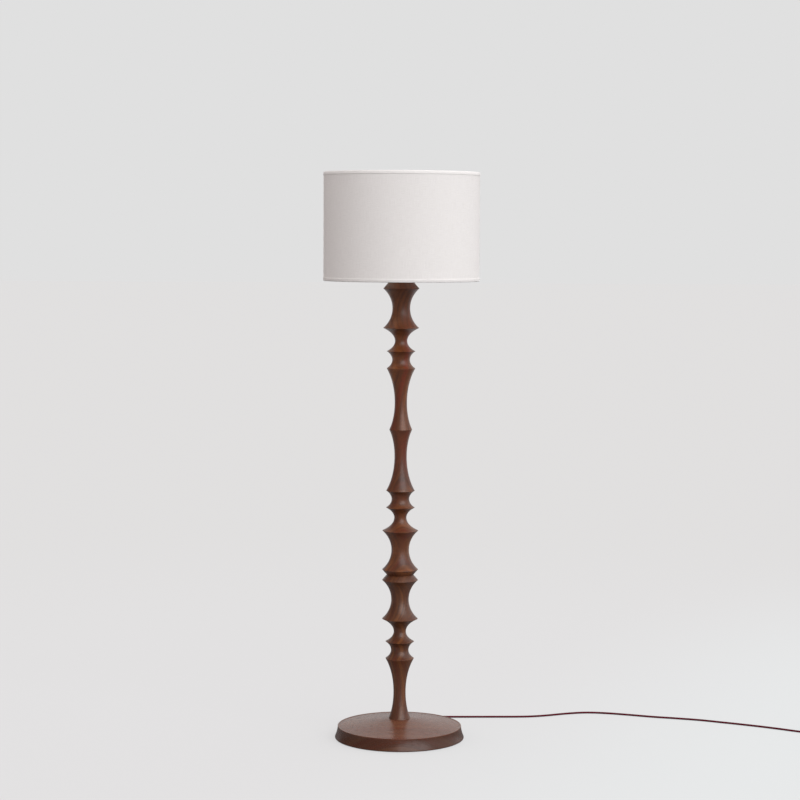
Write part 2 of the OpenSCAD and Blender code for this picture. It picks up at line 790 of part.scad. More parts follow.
// The cord's two conductors, from its end to the terminals.
module leads() {
    out_x = body_flat_x + lead_r + 0.3;
    color("#c9b8a8") for (side = [0, 1]) mirror([side, 0, 0]) {
        wire_bend(lead_x + lead_bend_r, lead_z - lead_bend_r, lead_bend_r, lead_r, 90, 90);
        translate([lead_x + lead_bend_r, 0, lead_z]) rotate([0, 90, 0])
            cylinder(r = lead_r, h = out_x - lead_x - 2 * lead_bend_r, $fn = 32);
        wire_bend(out_x - lead_bend_r, lead_z + lead_bend_r, lead_bend_r, lead_r, -90, 90);
        translate([out_x, 0, lead_z + lead_bend_r])
            cylinder(r = lead_r, h = key_z - terminal_r - lead_z - lead_bend_r, $fn = 32);
    }
}

// The switch's shaft and its flat paddle.
module switch_key() {
    tip_y = key_tail_y + key_l;
    color("#1d1b1a") {
        translate([0, -key_tail_y, key_z]) rotate([90, 0, 0]) cylinder(r = key_r, h = key_l - 4);
        translate([0, -tip_y + key_paddle_h, key_z]) rotate([90, 0, 0])
            linear_extrude(key_paddle_h) union() {
                square([key_paddle_w - key_paddle_t, key_paddle_t], center = true);
                for (side = [-1, 1]) translate([side * (key_paddle_w - key_paddle_t) / 2, 0])
                    circle(r = key_paddle_t / 2, $fn = 32);
            }
    }
}

// The bulb's screw cap, open to the glass, with its insulator and tip.
module bulb_cap() {
    seat = tip_z + tip_h;
    color(steel) difference() {
        rotate_extrude() polygon([
            [0, tip_z], [tip_r, tip_z], [bulb_cap_r - 2, seat - 0.5], [bulb_cap_r, seat + 1],
            [bulb_cap_r, bulb_cap_top_z], [0, bulb_cap_top_z]]);
        translate([0, 0, seat + 2]) cylinder(r = bulb_cap_r - bulb_cap_wall, h = bulb_cap_h);
    }
}

// The bulb's outline, smaller by a wall where it is the inside.
function bulb_outline(inset) =
    let (r = bulb_r - inset)
    concat(
        [[neck_r - inset, neck_z], [neck_r - inset, neck_z + neck_h]],
        arc(0, bulb_centre_z, r, -bulb_lean, 90, 20));

module bulb_glass() {
    color("#f4f1ea") difference() {
        rotate_extrude() polygon(concat([[0, neck_z]], bulb_outline(0)));
        rotate_extrude() polygon(concat([[0, neck_z - 1], [neck_r - glass_t, neck_z - 1]],
            bulb_outline(glass_t)));
    }
}

// ================================================================ Shade

// The top ring with its arms, each dropping to the hub that sits on the harp.
module spider_ring() {
    ring_z = shade_top_z - ring_inset;
    color("#e6e3dd") difference() {
        union() {
            rotate_extrude() translate([ring_r, ring_z]) circle(r = ring_wire_r, $fn = 32);
            translate([0, 0, hub_z]) cylinder(r = hub_r, h = hub_t);
            for (i = [0 : arms - 1]) rotate([0, 0, 90 + 360 * i / arms]) {
                translate([hub_r - 1, 0, arm_z]) rotate([0, 90, 0])
                    cylinder(r = arm_wire_r, h = ring_r - arm_bend_r - hub_r + 1, $fn = 32);
                wire_bend(ring_r - arm_bend_r, arm_z + arm_bend_r, arm_bend_r, arm_wire_r, -90, 90);
                translate([ring_r, 0, arm_z + arm_bend_r])
                    cylinder(r = arm_wire_r, h = ring_z - arm_z - arm_bend_r, $fn = 32);
            }
        }
        translate([0, 0, hub_z - 1]) cylinder(r = hub_hole_r, h = hub_t + 2);
    }
}

module bottom_ring() {
    color("#e6e3dd") rotate_extrude() translate([ring_r, shade_bottom_z + ring_inset])
        circle(r = ring_wire_r, $fn = 32);
}

module shade_liner() {
    color("#f2efe9") ring_tube(skin_z, skin_h, liner_r, liner_in_r);
}

module shade_fabric() {
    color(linen) ring_tube(skin_z, skin_h, fabric_r, fabric_r - fabric_t);
}

// A linen tape folded over an edge and round the ring wire, drawn for the top edge.
module folded_trim() {
    rotate_extrude() polygon([
        [trim_inner_r, -trim_w], [shade_r, -trim_w], [shade_r, 0], [trim_fold_r - trim_t, 0],
        [trim_fold_r - trim_t, -fold_w], [trim_fold_r, -fold_w], [trim_fold_r, -trim_t],
        [trim_inner_r, -trim_t]]);
}

module trim_top() {
    color(linen) translate([0, 0, shade_top_z]) folded_trim();
}

module trim_bottom() {
    color(linen) translate([0, 0, shade_bottom_z]) mirror([0, 0, 1]) folded_trim();
}

// A turned brass knob that clamps the shade's hub.
module finial() {
    ball_z = finial_z + finial_h - finial_ball_r;
    color(brass) difference() {
        rotate_extrude() polygon(concat(
            [[0, finial_z], [finial_foot_r, finial_z],
             [finial_foot_r, finial_z + finial_foot_t], [finial_neck_r, finial_neck_z]],
            arc(0, ball_z, finial_ball_r, -52, 90, 12)));
        translate([0, 0, finial_z - 1])
            cylinder(r = stud_r + finial_gap, h = seat_top_z + stud_l - finial_z + finial_room);
    }
}

// ================================================================ Cord, coil and plug

module cord() {
    path = curve_through(cord_path, rings_per_span);
    color(burgundy) tube(path, cord_r, cord_sides, [0, 1, 0], coil_heading);
}

// A point of the coil after so many turns: in for half of them, up a layer, and out again.
function coil_point(turn) =
    let (
        half = coil_turns / 2,
        r = coil_in_r + coil_pitch * abs(turn - half),
        climb = min(max((turn - half + 0.25) * 2, 0), 1),
        a = coil_start_a + 360 * turn)
    [coil_centre[0] + r * cos(a), coil_centre[1] + r * sin(a), coil_z + coil_lift * climb];

coil_path = concat(
    [coil_start - cord_d * coil_heading],
    [for (i = [0 : coil_turns * coil_rings]) coil_point(i / coil_rings)],
    [tail_end]);

module cord_coil() {
    color(burgundy) tube(coil_path, cord_r, coil_sides, coil_heading, coil_tail);
}

// The least gap of the coil's tube to itself, between points at least half a turn apart.
coil_least_gap = min([for (i = [1 : len(coil_path) - 2])
    for (j = [i + coil_rings / 2 : 1 : len(coil_path) - 2])
        norm(coil_path[i] - coil_path[j]) - cord_d]);
echo(coil_least_gap = coil_least_gap);

function path_length(p) = len(p) < 2 ? 0 :
    let (spans = [for (i = [0 : len(p) - 2]) norm(p[i + 1] - p[i])])
    spans * [for (s = spans) 1];
echo(cord_length = path_length(curve_through(cord_path, rings_per_span)) + path_length(coil_path));

// A flat tie once round the coil's bundle.
module coil_tie() {
    low_r = coil_in_r - cord_r - tie_gap;
    high_r = coil_out_r + cord_r + tie_gap;
    low_z = coil_z - cord_r - tie_gap / 3;
    high_z = coil_z + coil_lift + cord_r + tie_gap;
    color("#2a2628") translate([coil_centre[0], coil_centre[1], 0]) rotate([0, 0, tie_a])
        difference() {
            translate([low_r - tie_t, -tie_w / 2, low_z - tie_t])
                cube([high_r - low_r + 2 * tie_t, tie_w, high_z - low_z + 2 * tie_t]);
            translate([low_r, -tie_w, low_z]) cube([high_r - low_r, 2 * tie_w, high_z - low_z]);
        }
}

// Places its children with +X along the coil's tail, at its end.
module at_plug() {
    translate(tail_end) rotate([0, 0, coil_start_a + 90 + 180]) children();
}

// A two-pin plug with rounded grips and a tapered neck.
module plug_body() {
    color("#2a1a1c") at_plug() {
        rotate([0, 90, 0]) cylinder(r1 = cord_r + 1, r2 = plug_neck_r, h = plug_neck_l);
        translate([plug_neck_l - eps, 0, -plug_h / 2]) linear_extrude(plug_h) union() {
            translate([0, -plug_w / 2 + plug_corner]) square([plug_l, plug_w - 2 * plug_corner]);
            translate([plug_corner, -plug_w / 2]) square([plug_l - plug_corner, plug_w]);
            for (side = [-1, 1]) translate([plug_corner, side * (plug_w / 2 - plug_corner)])
                circle(r = plug_corner);
        }
    }
}

module plug_blades() {
    color("#c8b070") at_plug() for (side = [-1, 1])
        translate([plug_neck_l + plug_l, side * blade_apart / 2 - blade_t / 2, -blade_w / 2])
            cube([blade_l, blade_t, blade_w]);
}

// ================================================================ Nodes

felt_pad();
base_disc();
ballast_plate();
ballast_screws();
base_washer();
base_nut();
cord_clamp();
clamp_screws();
strain_relief();
inner_cord();
column_lower();
column_middle();
column_upper();
threaded_rod();
check_ring();
harp_saddle();
lock_nut();
harp();
harp_sleeve_left();
harp_sleeve_right();
harp_post();
socket_cap();
socket_shell();
socket_liner();
socket_body();
screw_shell();
centre_contact();
terminal_screws();
leads();
switch_key();
bulb_cap();
bulb_glass();
spider_ring();
bottom_ring();
shade_liner();
shade_fabric();
trim_top();
trim_bottom();
finial();
cord();
cord_coil();
coil_tie();
plug_body();
plug_blades();
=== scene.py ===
"""Column floor lamp: the dressed model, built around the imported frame.

Sizes in the classes are millimetres, as in the part's source. Every object is in metres,
+Z up, with the origin on the floor below the column's axis and the viewer at -Y.
"""

from __future__ import annotations

import itertools
import json
import logging
import math
from collections.abc import Callable, Iterable, Mapping, Sequence
from dataclasses import dataclass, field
from enum import Enum
from typing import Any

import bmesh
import bpy
from mathutils import Matrix, Vector

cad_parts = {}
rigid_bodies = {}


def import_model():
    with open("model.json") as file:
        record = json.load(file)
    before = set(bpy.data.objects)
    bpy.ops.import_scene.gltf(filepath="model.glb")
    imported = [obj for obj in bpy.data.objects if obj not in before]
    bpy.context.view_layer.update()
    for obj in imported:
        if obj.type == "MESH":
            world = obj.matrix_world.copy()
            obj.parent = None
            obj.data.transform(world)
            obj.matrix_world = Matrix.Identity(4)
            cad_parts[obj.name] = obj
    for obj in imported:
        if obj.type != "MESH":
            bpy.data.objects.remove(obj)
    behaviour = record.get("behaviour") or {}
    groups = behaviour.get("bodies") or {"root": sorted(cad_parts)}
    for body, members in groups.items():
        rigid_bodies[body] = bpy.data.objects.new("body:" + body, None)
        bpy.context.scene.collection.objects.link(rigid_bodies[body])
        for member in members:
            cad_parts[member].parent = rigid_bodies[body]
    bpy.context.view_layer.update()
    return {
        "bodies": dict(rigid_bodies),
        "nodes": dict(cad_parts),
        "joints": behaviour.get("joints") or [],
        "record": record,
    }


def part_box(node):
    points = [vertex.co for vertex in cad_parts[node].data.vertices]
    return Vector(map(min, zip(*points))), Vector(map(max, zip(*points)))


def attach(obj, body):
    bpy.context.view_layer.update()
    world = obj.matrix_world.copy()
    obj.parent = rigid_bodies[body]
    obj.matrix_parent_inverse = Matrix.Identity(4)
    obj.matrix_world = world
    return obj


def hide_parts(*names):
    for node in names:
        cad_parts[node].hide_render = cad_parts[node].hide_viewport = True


LOG = logging.getLogger("floor_lamp")
MM = 0.001
TINY = 1e-6
MATH = "ShaderNodeMath"
VECTOR = "ShaderNodeVectorMath"
MIX = "ShaderNodeMix"
RAMP = "ShaderNodeValToRGB"
RANGE = "ShaderNodeMapRange"
NOISE = "ShaderNodeTexNoise"
PLACE = "ShaderNodeTexCoord"
SPLIT = "ShaderNodeSeparateXYZ"
JOIN = "ShaderNodeCombineXYZ"

Point = tuple[float, float, float]
Outline = list[tuple[float, float]]


# ---------------------------------------------------------------- Colours and nodes


def linear(colour: str) -> tuple[float, float, float, float]:
    """Turns an sRGB hex colour into a linear one.

    Args:
        colour: Six hex digits after a hash.

    Returns:
        Red, green, blue and an alpha of 1.
    """
    values = [int(colour[k : k + 2], 16) / 255 for k in (1, 3, 5)]
    red, green, blue = (
        v / 12.92 if v <= 0.04045 else ((v + 0.055) / 1.055) ** 2.4 for v in values
    )
    return red, green, blue, 1.0


def pick(sockets: Any, key: int | str) -> bpy.types.NodeSocket:
    """Finds a node's usable socket by its name, or by its place among the usable ones."""
    usable = [s for s in sockets if s.enabled]
    return usable[key] if isinstance(key, int) else next(s for s in usable if s.name == key)


def add(
    tree: bpy.types.NodeTree,
    kind: str,
    inputs: Mapping[int | str, Any] | None = None,
    stops: Sequence[tuple[float, str]] = (),
    **settings: Any,
) -> bpy.types.Node:
    """Adds a node with its settings, values and links.

    Args:
        tree: The tree that gets the node.
        kind: The node's type.
        inputs: A value, a socket, or a node whose first usable output is meant, for each input.
        stops: Places and colours of a colour ramp.
        settings: The node's own properties.

    Returns:
        The new node.
    """
    made = tree.nodes.new(kind)
    for name, value in settings.items():
        setattr(made, name, value)
    for key, value in (inputs or {}).items():
        socket = pick(made.inputs, key)
        if isinstance(value, bpy.types.Node):
            value = pick(value.outputs, 0)
        if isinstance(value, bpy.types.NodeSocket):
            tree.links.new(value, socket)
        else:
            socket.default_value = value
    if stops:
        ramp = made.color_ramp.elements
        while len(ramp) < len(stops):
            ramp.new(0.5)
        for element, (place, colour) in zip(ramp, stops):
            element.position = place
            element.color = linear(colour)
    return made


def new_material(name: str) -> tuple[bpy.types.Material, bpy.types.NodeTree]:
    """Makes an empty node material and returns it with its tree.

    Args:
        name: The material's name.

    Returns:
        The material and its tree.
    """
    made = bpy.data.materials.new(name)
    made.use_nodes = True
    made.node_tree.nodes.clear()
    return made, made.node_tree


def surface(tree: bpy.types.NodeTree, inputs: Mapping[str, Any]) -> None:
    """Ends a material's tree in a Principled shader with these inputs."""
    shader = add(tree, "ShaderNodeBsdfPrincipled", inputs)
    add(tree, "ShaderNodeOutputMaterial", {"Surface": shader})


# ---------------------------------------------------------------- Mesh helpers


def around(count: int) -> list[float]:
    """Angles of points set evenly on a circle."""
    return [math.tau * k / count for k in range(count)]


def runs(points: Sequence[Any]) -> list[float]:
    """Distance of each point from the first one, along the points."""
    spans = (math.dist(a, b) for a, b in zip(points, points[1:]))
    return list(itertools.accumulate(spans, initial=0.0))


def arc(cx: float, cz: float, radius: float, start: float, end: float, steps: int) -> Outline:
    """Points of an arc in the outline's plane, with its angles in degrees."""
    angles = (math.radians(start + (end - start) * k / steps) for k in range(steps + 1))
    return [(cx + radius * math.cos(a), cz + radius * math.sin(a)) for a in angles]


def bend(start: Vector, corner: Vector, end: Vector, steps: int) -> Outline:
    """Points of a curve that leaves its start towards a corner and ends coming from it.

    Args:
        start: Where the curve starts.
        corner: Where both its ends point to.
        end: Where it ends.
        steps: Its pieces.

    Returns:
        The curve's points, with both ends.
    """
    shares = (k / steps for k in range(steps + 1))
    curve = (start * (1 - t) ** 2 + corner * 2 * t * (1 - t) + end * t * t for t in shares)
    return [(point.x, point.y) for point in curve]


def rounded(outline: Outline, radius: float, steps: int = 3, loop: bool = True) -> Outline:
    """Rounds the corners of an outline.

    Args:
        outline: Points of the outline, in millimetres.
        radius: How far from each corner the rounding starts, at most a third of a side.
        steps: Pieces of each rounded corner.
        loop: Whether the first and last points are corners too.

    Returns:
        The outline with each corner replaced by a short curve.
    """
    count, made = len(outline), []
    for i, corner in enumerate(outline):
        if not loop and i in (0, count - 1):
            made.append(corner)
            continue
        here = Vector(corner)
        ways = [Vector(outline[(i + k) % count]) - here for k in (-1, 1)]
        start, end = (here + way.normalized() * min(radius, way.length / 3) for way in ways)
        made += bend(start, here, end, steps)
    return made


def smooth_path(points: Sequence[Point], pieces: int) -> list[Vector]:
    """Runs a smooth curve through points, each span cut into pieces.

    Args:
        points: The points that the curve passes through.
        pieces: The pieces of each span.

    Returns:
        The curve's points.
    """
    given = [Vector(p) for p in points]
    last = len(given) - 1
    path = []
    for i in range(last):
        a, b, c, d = (given[min(max(i + k, 0), last)] for k in (-1, 0, 1, 2))
        for t in (k / pieces for k in range(pieces)):
            path.append(0.5 * (2 * b + (c - a) * t + (2 * a - 5 * b + 4 * c - d) * t * t
                               + (3 * b - a - 3 * c + d) * t**3))
    return path + [given[-1]]


def even_path(path: Sequence[Vector], step: float) -> list[Vector]:
    """Sets points at even distances along a path, both ends kept.

    Args:
        path: The points of the path.
        step: About how far apart the new points lie.

    Returns:
        The new points.
    """
    at = runs(path)
    count = max(2, round(at[-1] / step))
    made, i = [path[0].copy()], 0
    for k in range(1, count):
        goal = at[-1] * k / count
        while at[i + 1] < goal:
            i += 1
        made.append(path[i].lerp(path[i + 1], (goal - at[i]) / (at[i + 1] - at[i])))
    return made + [path[-1].copy()]


def as_piece(
    name: str, mesh: bpy.types.Mesh, material: bpy.types.Material, sharp: float = 35
) -> bpy.types.Object:
    """Makes a smooth-shaded object of a mesh, with its edges sharp past an angle.

    Args:
        name: The piece's name.
        mesh: Its finished mesh, in metres.
        material: The one material of the piece.
        sharp: Degrees between faces past which their edge is sharp.

    Returns:
        The linked object.
    """
    mesh.name = name
    mesh.materials.clear()
    mesh.materials.append(material)
    mesh.shade_smooth()
    mesh.set_sharp_from_angle(angle=math.radians(sharp))
    made = bpy.data.objects.new(name, mesh)
    bpy.context.scene.collection.objects.link(made)
    return made


def from_bmesh(bm: bmesh.types.BMesh, name: str) -> bpy.types.Mesh:
    """Turns a bmesh's faces outwards and keeps it as a mesh.

    Args:
        bm: The bmesh, which is freed.
        name: The mesh's name.

    Returns:
        The mesh.
    """
    bmesh.ops.recalc_face_normals(bm, faces=bm.faces)
    mesh = bpy.data.meshes.new(name)
    bm.to_mesh(mesh)
    bm.free()
    return mesh


def rings_mesh(
    name: str, rings: Sequence[Sequence[Vector]], lengths: Sequence[float], girth: float,
    loop: bool = False,
) -> bpy.types.Mesh:
    """Skins rings of points, with a UV map in metres along and around them.

    Args:
        name: The mesh's name.
        rings: Rings with the same number of points. A ring of one point is a pole.
        lengths: The place of each ring along the piece, in metres.
        girth: The distance once around, in metres.
        loop: Whether the last ring joins the first, by a strip that is out of sight.

    Returns:
        The closed mesh.
    """
    bm = bmesh.new()
    uv = bm.loops.layers.uv.new("UVMap")
    sides = max(len(ring) for ring in rings)
    made = [[bm.verts.new(p) for p in ring] for ring in rings]
    ends = [*lengths, lengths[-1] + girth / 100]
    for i in range(len(rings) if loop else len(rings) - 1):
        low, high = made[i], made[(i + 1) % len(rings)]
        for k in range(sides):
            corners: dict[bmesh.types.BMVert, tuple[float, float]] = {}
            for ring, j, v in ((low, k, i), (low, k + 1, i), (high, k + 1, i + 1),
                               (high, k, i + 1)):
                corners.setdefault(ring[j % len(ring)], (girth * j / sides, ends[v]))
            if len(corners) > 2:
                face = bm.faces.new(list(corners))
                for corner, place in zip(face.loops, corners.values()):
                    corner[uv].uv = place
    for ring in () if loop else (made[0], made[-1]):
        if len(ring) > 2:
            bm.faces.new(ring)
    return from_bmesh(bm, name)


def lathe(name: str, outline: Outline, segments: int = 128, loop: bool = False) -> bpy.types.Mesh:
    """Turns an outline in millimetres about Z.

    Args:
        name: The mesh's name.
        outline: Radius and height of each point. A radius of 0 is a pole.
        segments: Points around.
        loop: Whether the last point joins the first, as on a tube with a wall.

    Returns:
        The closed mesh, in metres.
    """
    turn = [(math.cos(a), math.sin(a)) for a in around(segments)]
    rings = [
        [Vector((radius * c, radius * s, height)) * MM
         for c, s in (turn if radius > TINY else [(0.0, 0.0)])]
        for radius, height in outline]
    widest = max(radius for radius, _ in outline)
    return rings_mesh(name, rings, [run * MM for run in runs(outline)],
                      math.tau * widest * MM, loop)


def tube(
    name: str, path: Sequence[Vector], radius: float, sides: int, relief: float = 0,
    turns: int = 0, pitch: float = 1,
) -> bpy.types.Mesh:
    """Sweeps a round section along a path, without twist, with closed ends.

    Args:
        name: The mesh's name.
        path: Centreline points, in metres.
        radius: Radius of the section, in metres.
        sides: Points around.
        relief: Depth of a braid's strands, in metres.
        turns: Strands of the braid that run each way.
        pitch: Length in which a strand goes once around, in metres.

    Returns:
        The closed mesh, with a UV map in metres.
    """
    side = Vector((0, 0, 1)).cross(path[1] - path[0])
    side = side.normalized() if side.length > TINY * MM else Vector((1, 0, 0))
    rings, lengths = [], runs(path)
    for i, here in enumerate(path):
        ahead = (path[min(i + 1, len(path) - 1)] - path[max(i - 1, 0)]).normalized()
        side = (side - ahead * side.dot(ahead)).normalized()
        up = ahead.cross(side)
        wind = math.tau * lengths[i] / pitch
        ring = []
        for a in around(sides):
            over = math.cos(turns * (a + wind)) * math.cos(turns * (a - wind)) if turns else 1.0
            r = radius - relief * (0.5 - 0.5 * over)
            ring.append(here + side * (r * math.cos(a)) + up * (r * math.sin(a)))
        rings.append(ring)
    return rings_mesh(name, rings, lengths, math.tau * radius)


def near(value: float, goal: float, reach: float) -> float:
    """Gives 1 at a goal, falling to 0 at a distance from it."""
    return max(0.0, 1 - abs(value - goal) / reach)


def mark(mesh: bpy.types.Mesh, name: str, amount: Callable[[Vector], float]) -> None:
    """Writes a value from 0 to 1 at each point of a mesh, such as how rubbed it is or how much
    painted shade darkens it, for its material.

    Args:
        mesh: The mesh.
        name: The attribute's name.
        amount: Gives the value at a point in metres.
    """
    layer = mesh.attributes.new(name, "FLOAT", "POINT")
    for vertex, value in zip(mesh.vertices, layer.data):
        value.value = amount(vertex.co)


# ---------------------------------------------------------------- Geometry Nodes helpers


def new_tree(
    name: str, inputs: Iterable[tuple[str, str, Any]]
) -> tuple[bpy.types.NodeTree, bpy.types.Node, bpy.types.Node]:
    """Starts a Geometry Nodes tree with named inputs and one geometry output.

    Args:
        name: The tree's name.
        inputs: Name, socket type and default of each input.

    Returns:
        The tree, its input node and its output node.
    """
    tree = bpy.data.node_groups.new(name, "GeometryNodeTree")
    for label, kind, value in inputs:
        socket = tree.interface.new_socket(name=label, in_out="INPUT", socket_type=kind)
        if value is not None:
            socket.default_value = value
    tree.interface.new_socket(name="Geometry", in_out="OUTPUT", socket_type="NodeSocketGeometry")
    return tree, add(tree, "NodeGroupInput"), add(tree, "NodeGroupOutput")


def end_tree(
    tree: bpy.types.NodeTree, given: bpy.types.Node, result: bpy.types.Node, shape: bpy.types.Node
) -> None:
    """Ends a tree in Realize Instances and Set Material.

    Args:
        tree: The tree.
        given: Its input node.
        result: Its output node.
        shape: The node that gives the shape.
    """
    real = add(tree, "GeometryNodeRealizeInstances", {0: shape})
    dressed = add(tree, "GeometryNodeSetMaterial", {
        "Geometry": real, "Material": given.outputs["Material"]})
    tree.links.new(dressed.outputs[0], result.inputs[0])


def run_tree(name: str, tree: bpy.types.NodeTree, inputs: Mapping[str, Any]) -> bpy.types.Mesh:
    """Evaluates a tree with its named inputs and keeps the result as a plain mesh.

    Args:
        name: The mesh's name.
        tree: A tree from this script.
        inputs: A value for each named input.

    Returns:
        The mesh, with its doubles merged and its faces outwards.
    """
    carrier = bpy.data.objects.new(f"{name}_carrier", bpy.data.meshes.new(f"{name}_carrier"))
    bpy.context.scene.collection.objects.link(carrier)
    modifier = carrier.modifiers.new(name, "NODES")
    modifier.node_group = tree
    for item in tree.interface.items_tree:
        if item.in_out == "INPUT" and item.name in inputs:
            modifier[item.identifier] = inputs[item.name]
    carrier.update_tag()
    graph = bpy.context.evaluated_depsgraph_get()
    mesh = bpy.data.meshes.new_from_object(carrier.evaluated_get(graph))
    carrier.modifiers.remove(modifier)
    bpy.data.objects.remove(carrier)
    bm = bmesh.new()
    bm.from_mesh(mesh)
    bmesh.ops.remove_doubles(bm, verts=bm.verts, dist=0.005 * MM)
    bpy.data.meshes.remove(mesh)
    return from_bmesh(bm, name)


def on_circle(tree: bpy.types.NodeTree, angle: bpy.types.Node, radius: Any,
              height: Any = 0.0) -> bpy.types.Node:
    """Gives the place at an angle about Z, at a radius and a height.

    Args:
        tree: The tree.
        angle: The node that gives the angle.
        radius: The radius, or what gives it.
        height: The height, or what gives it.

    Returns:
        The node that gives the place.
    """
    across, back = (
        add(tree, MATH, {0: add(tree, MATH, {0: angle}, operation=way), 1: radius},
            operation="MULTIPLY")
        for way in ("COSINE", "SINE"))
    return add(tree, JOIN, {0: across, 1: back, 2: height})


def ring_tree() -> bpy.types.NodeTree:
    """Builds the tree that sets copies of an item on a circle, each turned outwards.

    Returns:
        The tree.
    """
    tree, given, result = new_tree("Ring of items", (
        ("Item", "NodeSocketObject", None), ("Count", "NodeSocketInt", 4),
        ("Radius", "NodeSocketFloat", 0.1), ("Start angle", "NodeSocketFloat", 0.0),
        ("Material", "NodeSocketMaterial", None)))
    size = given.outputs
    share = add(tree, MATH, {0: add(tree, "GeometryNodeInputIndex"), 1: size["Count"]},
                operation="DIVIDE")
    angle = add(tree, MATH, {0: share, 1: math.tau, 2: size["Start angle"]},
                operation="MULTIPLY_ADD")
    points = add(tree, "GeometryNodePoints", {
        "Count": size["Count"], "Position": on_circle(tree, angle, size["Radius"])})
    item = add(tree, "GeometryNodeObjectInfo", {"Object": size["Item"]})
    copies = add(tree, "GeometryNodeInstanceOnPoints", {
        "Points": points, "Instance": item.outputs["Geometry"],
        "Rotation": add(tree, JOIN, {2: angle})})
    end_tree(tree, given, result, copies)
    return tree


# ---------------------------------------------------------------- Finishes


class Grain(Enum):
    """Which way a blank's grain runs, as the turn that stands it upright."""

    UPRIGHT = (0.0, 0.0, 0.0)
    ACROSS = (0.0, math.pi / 2, 0.0)


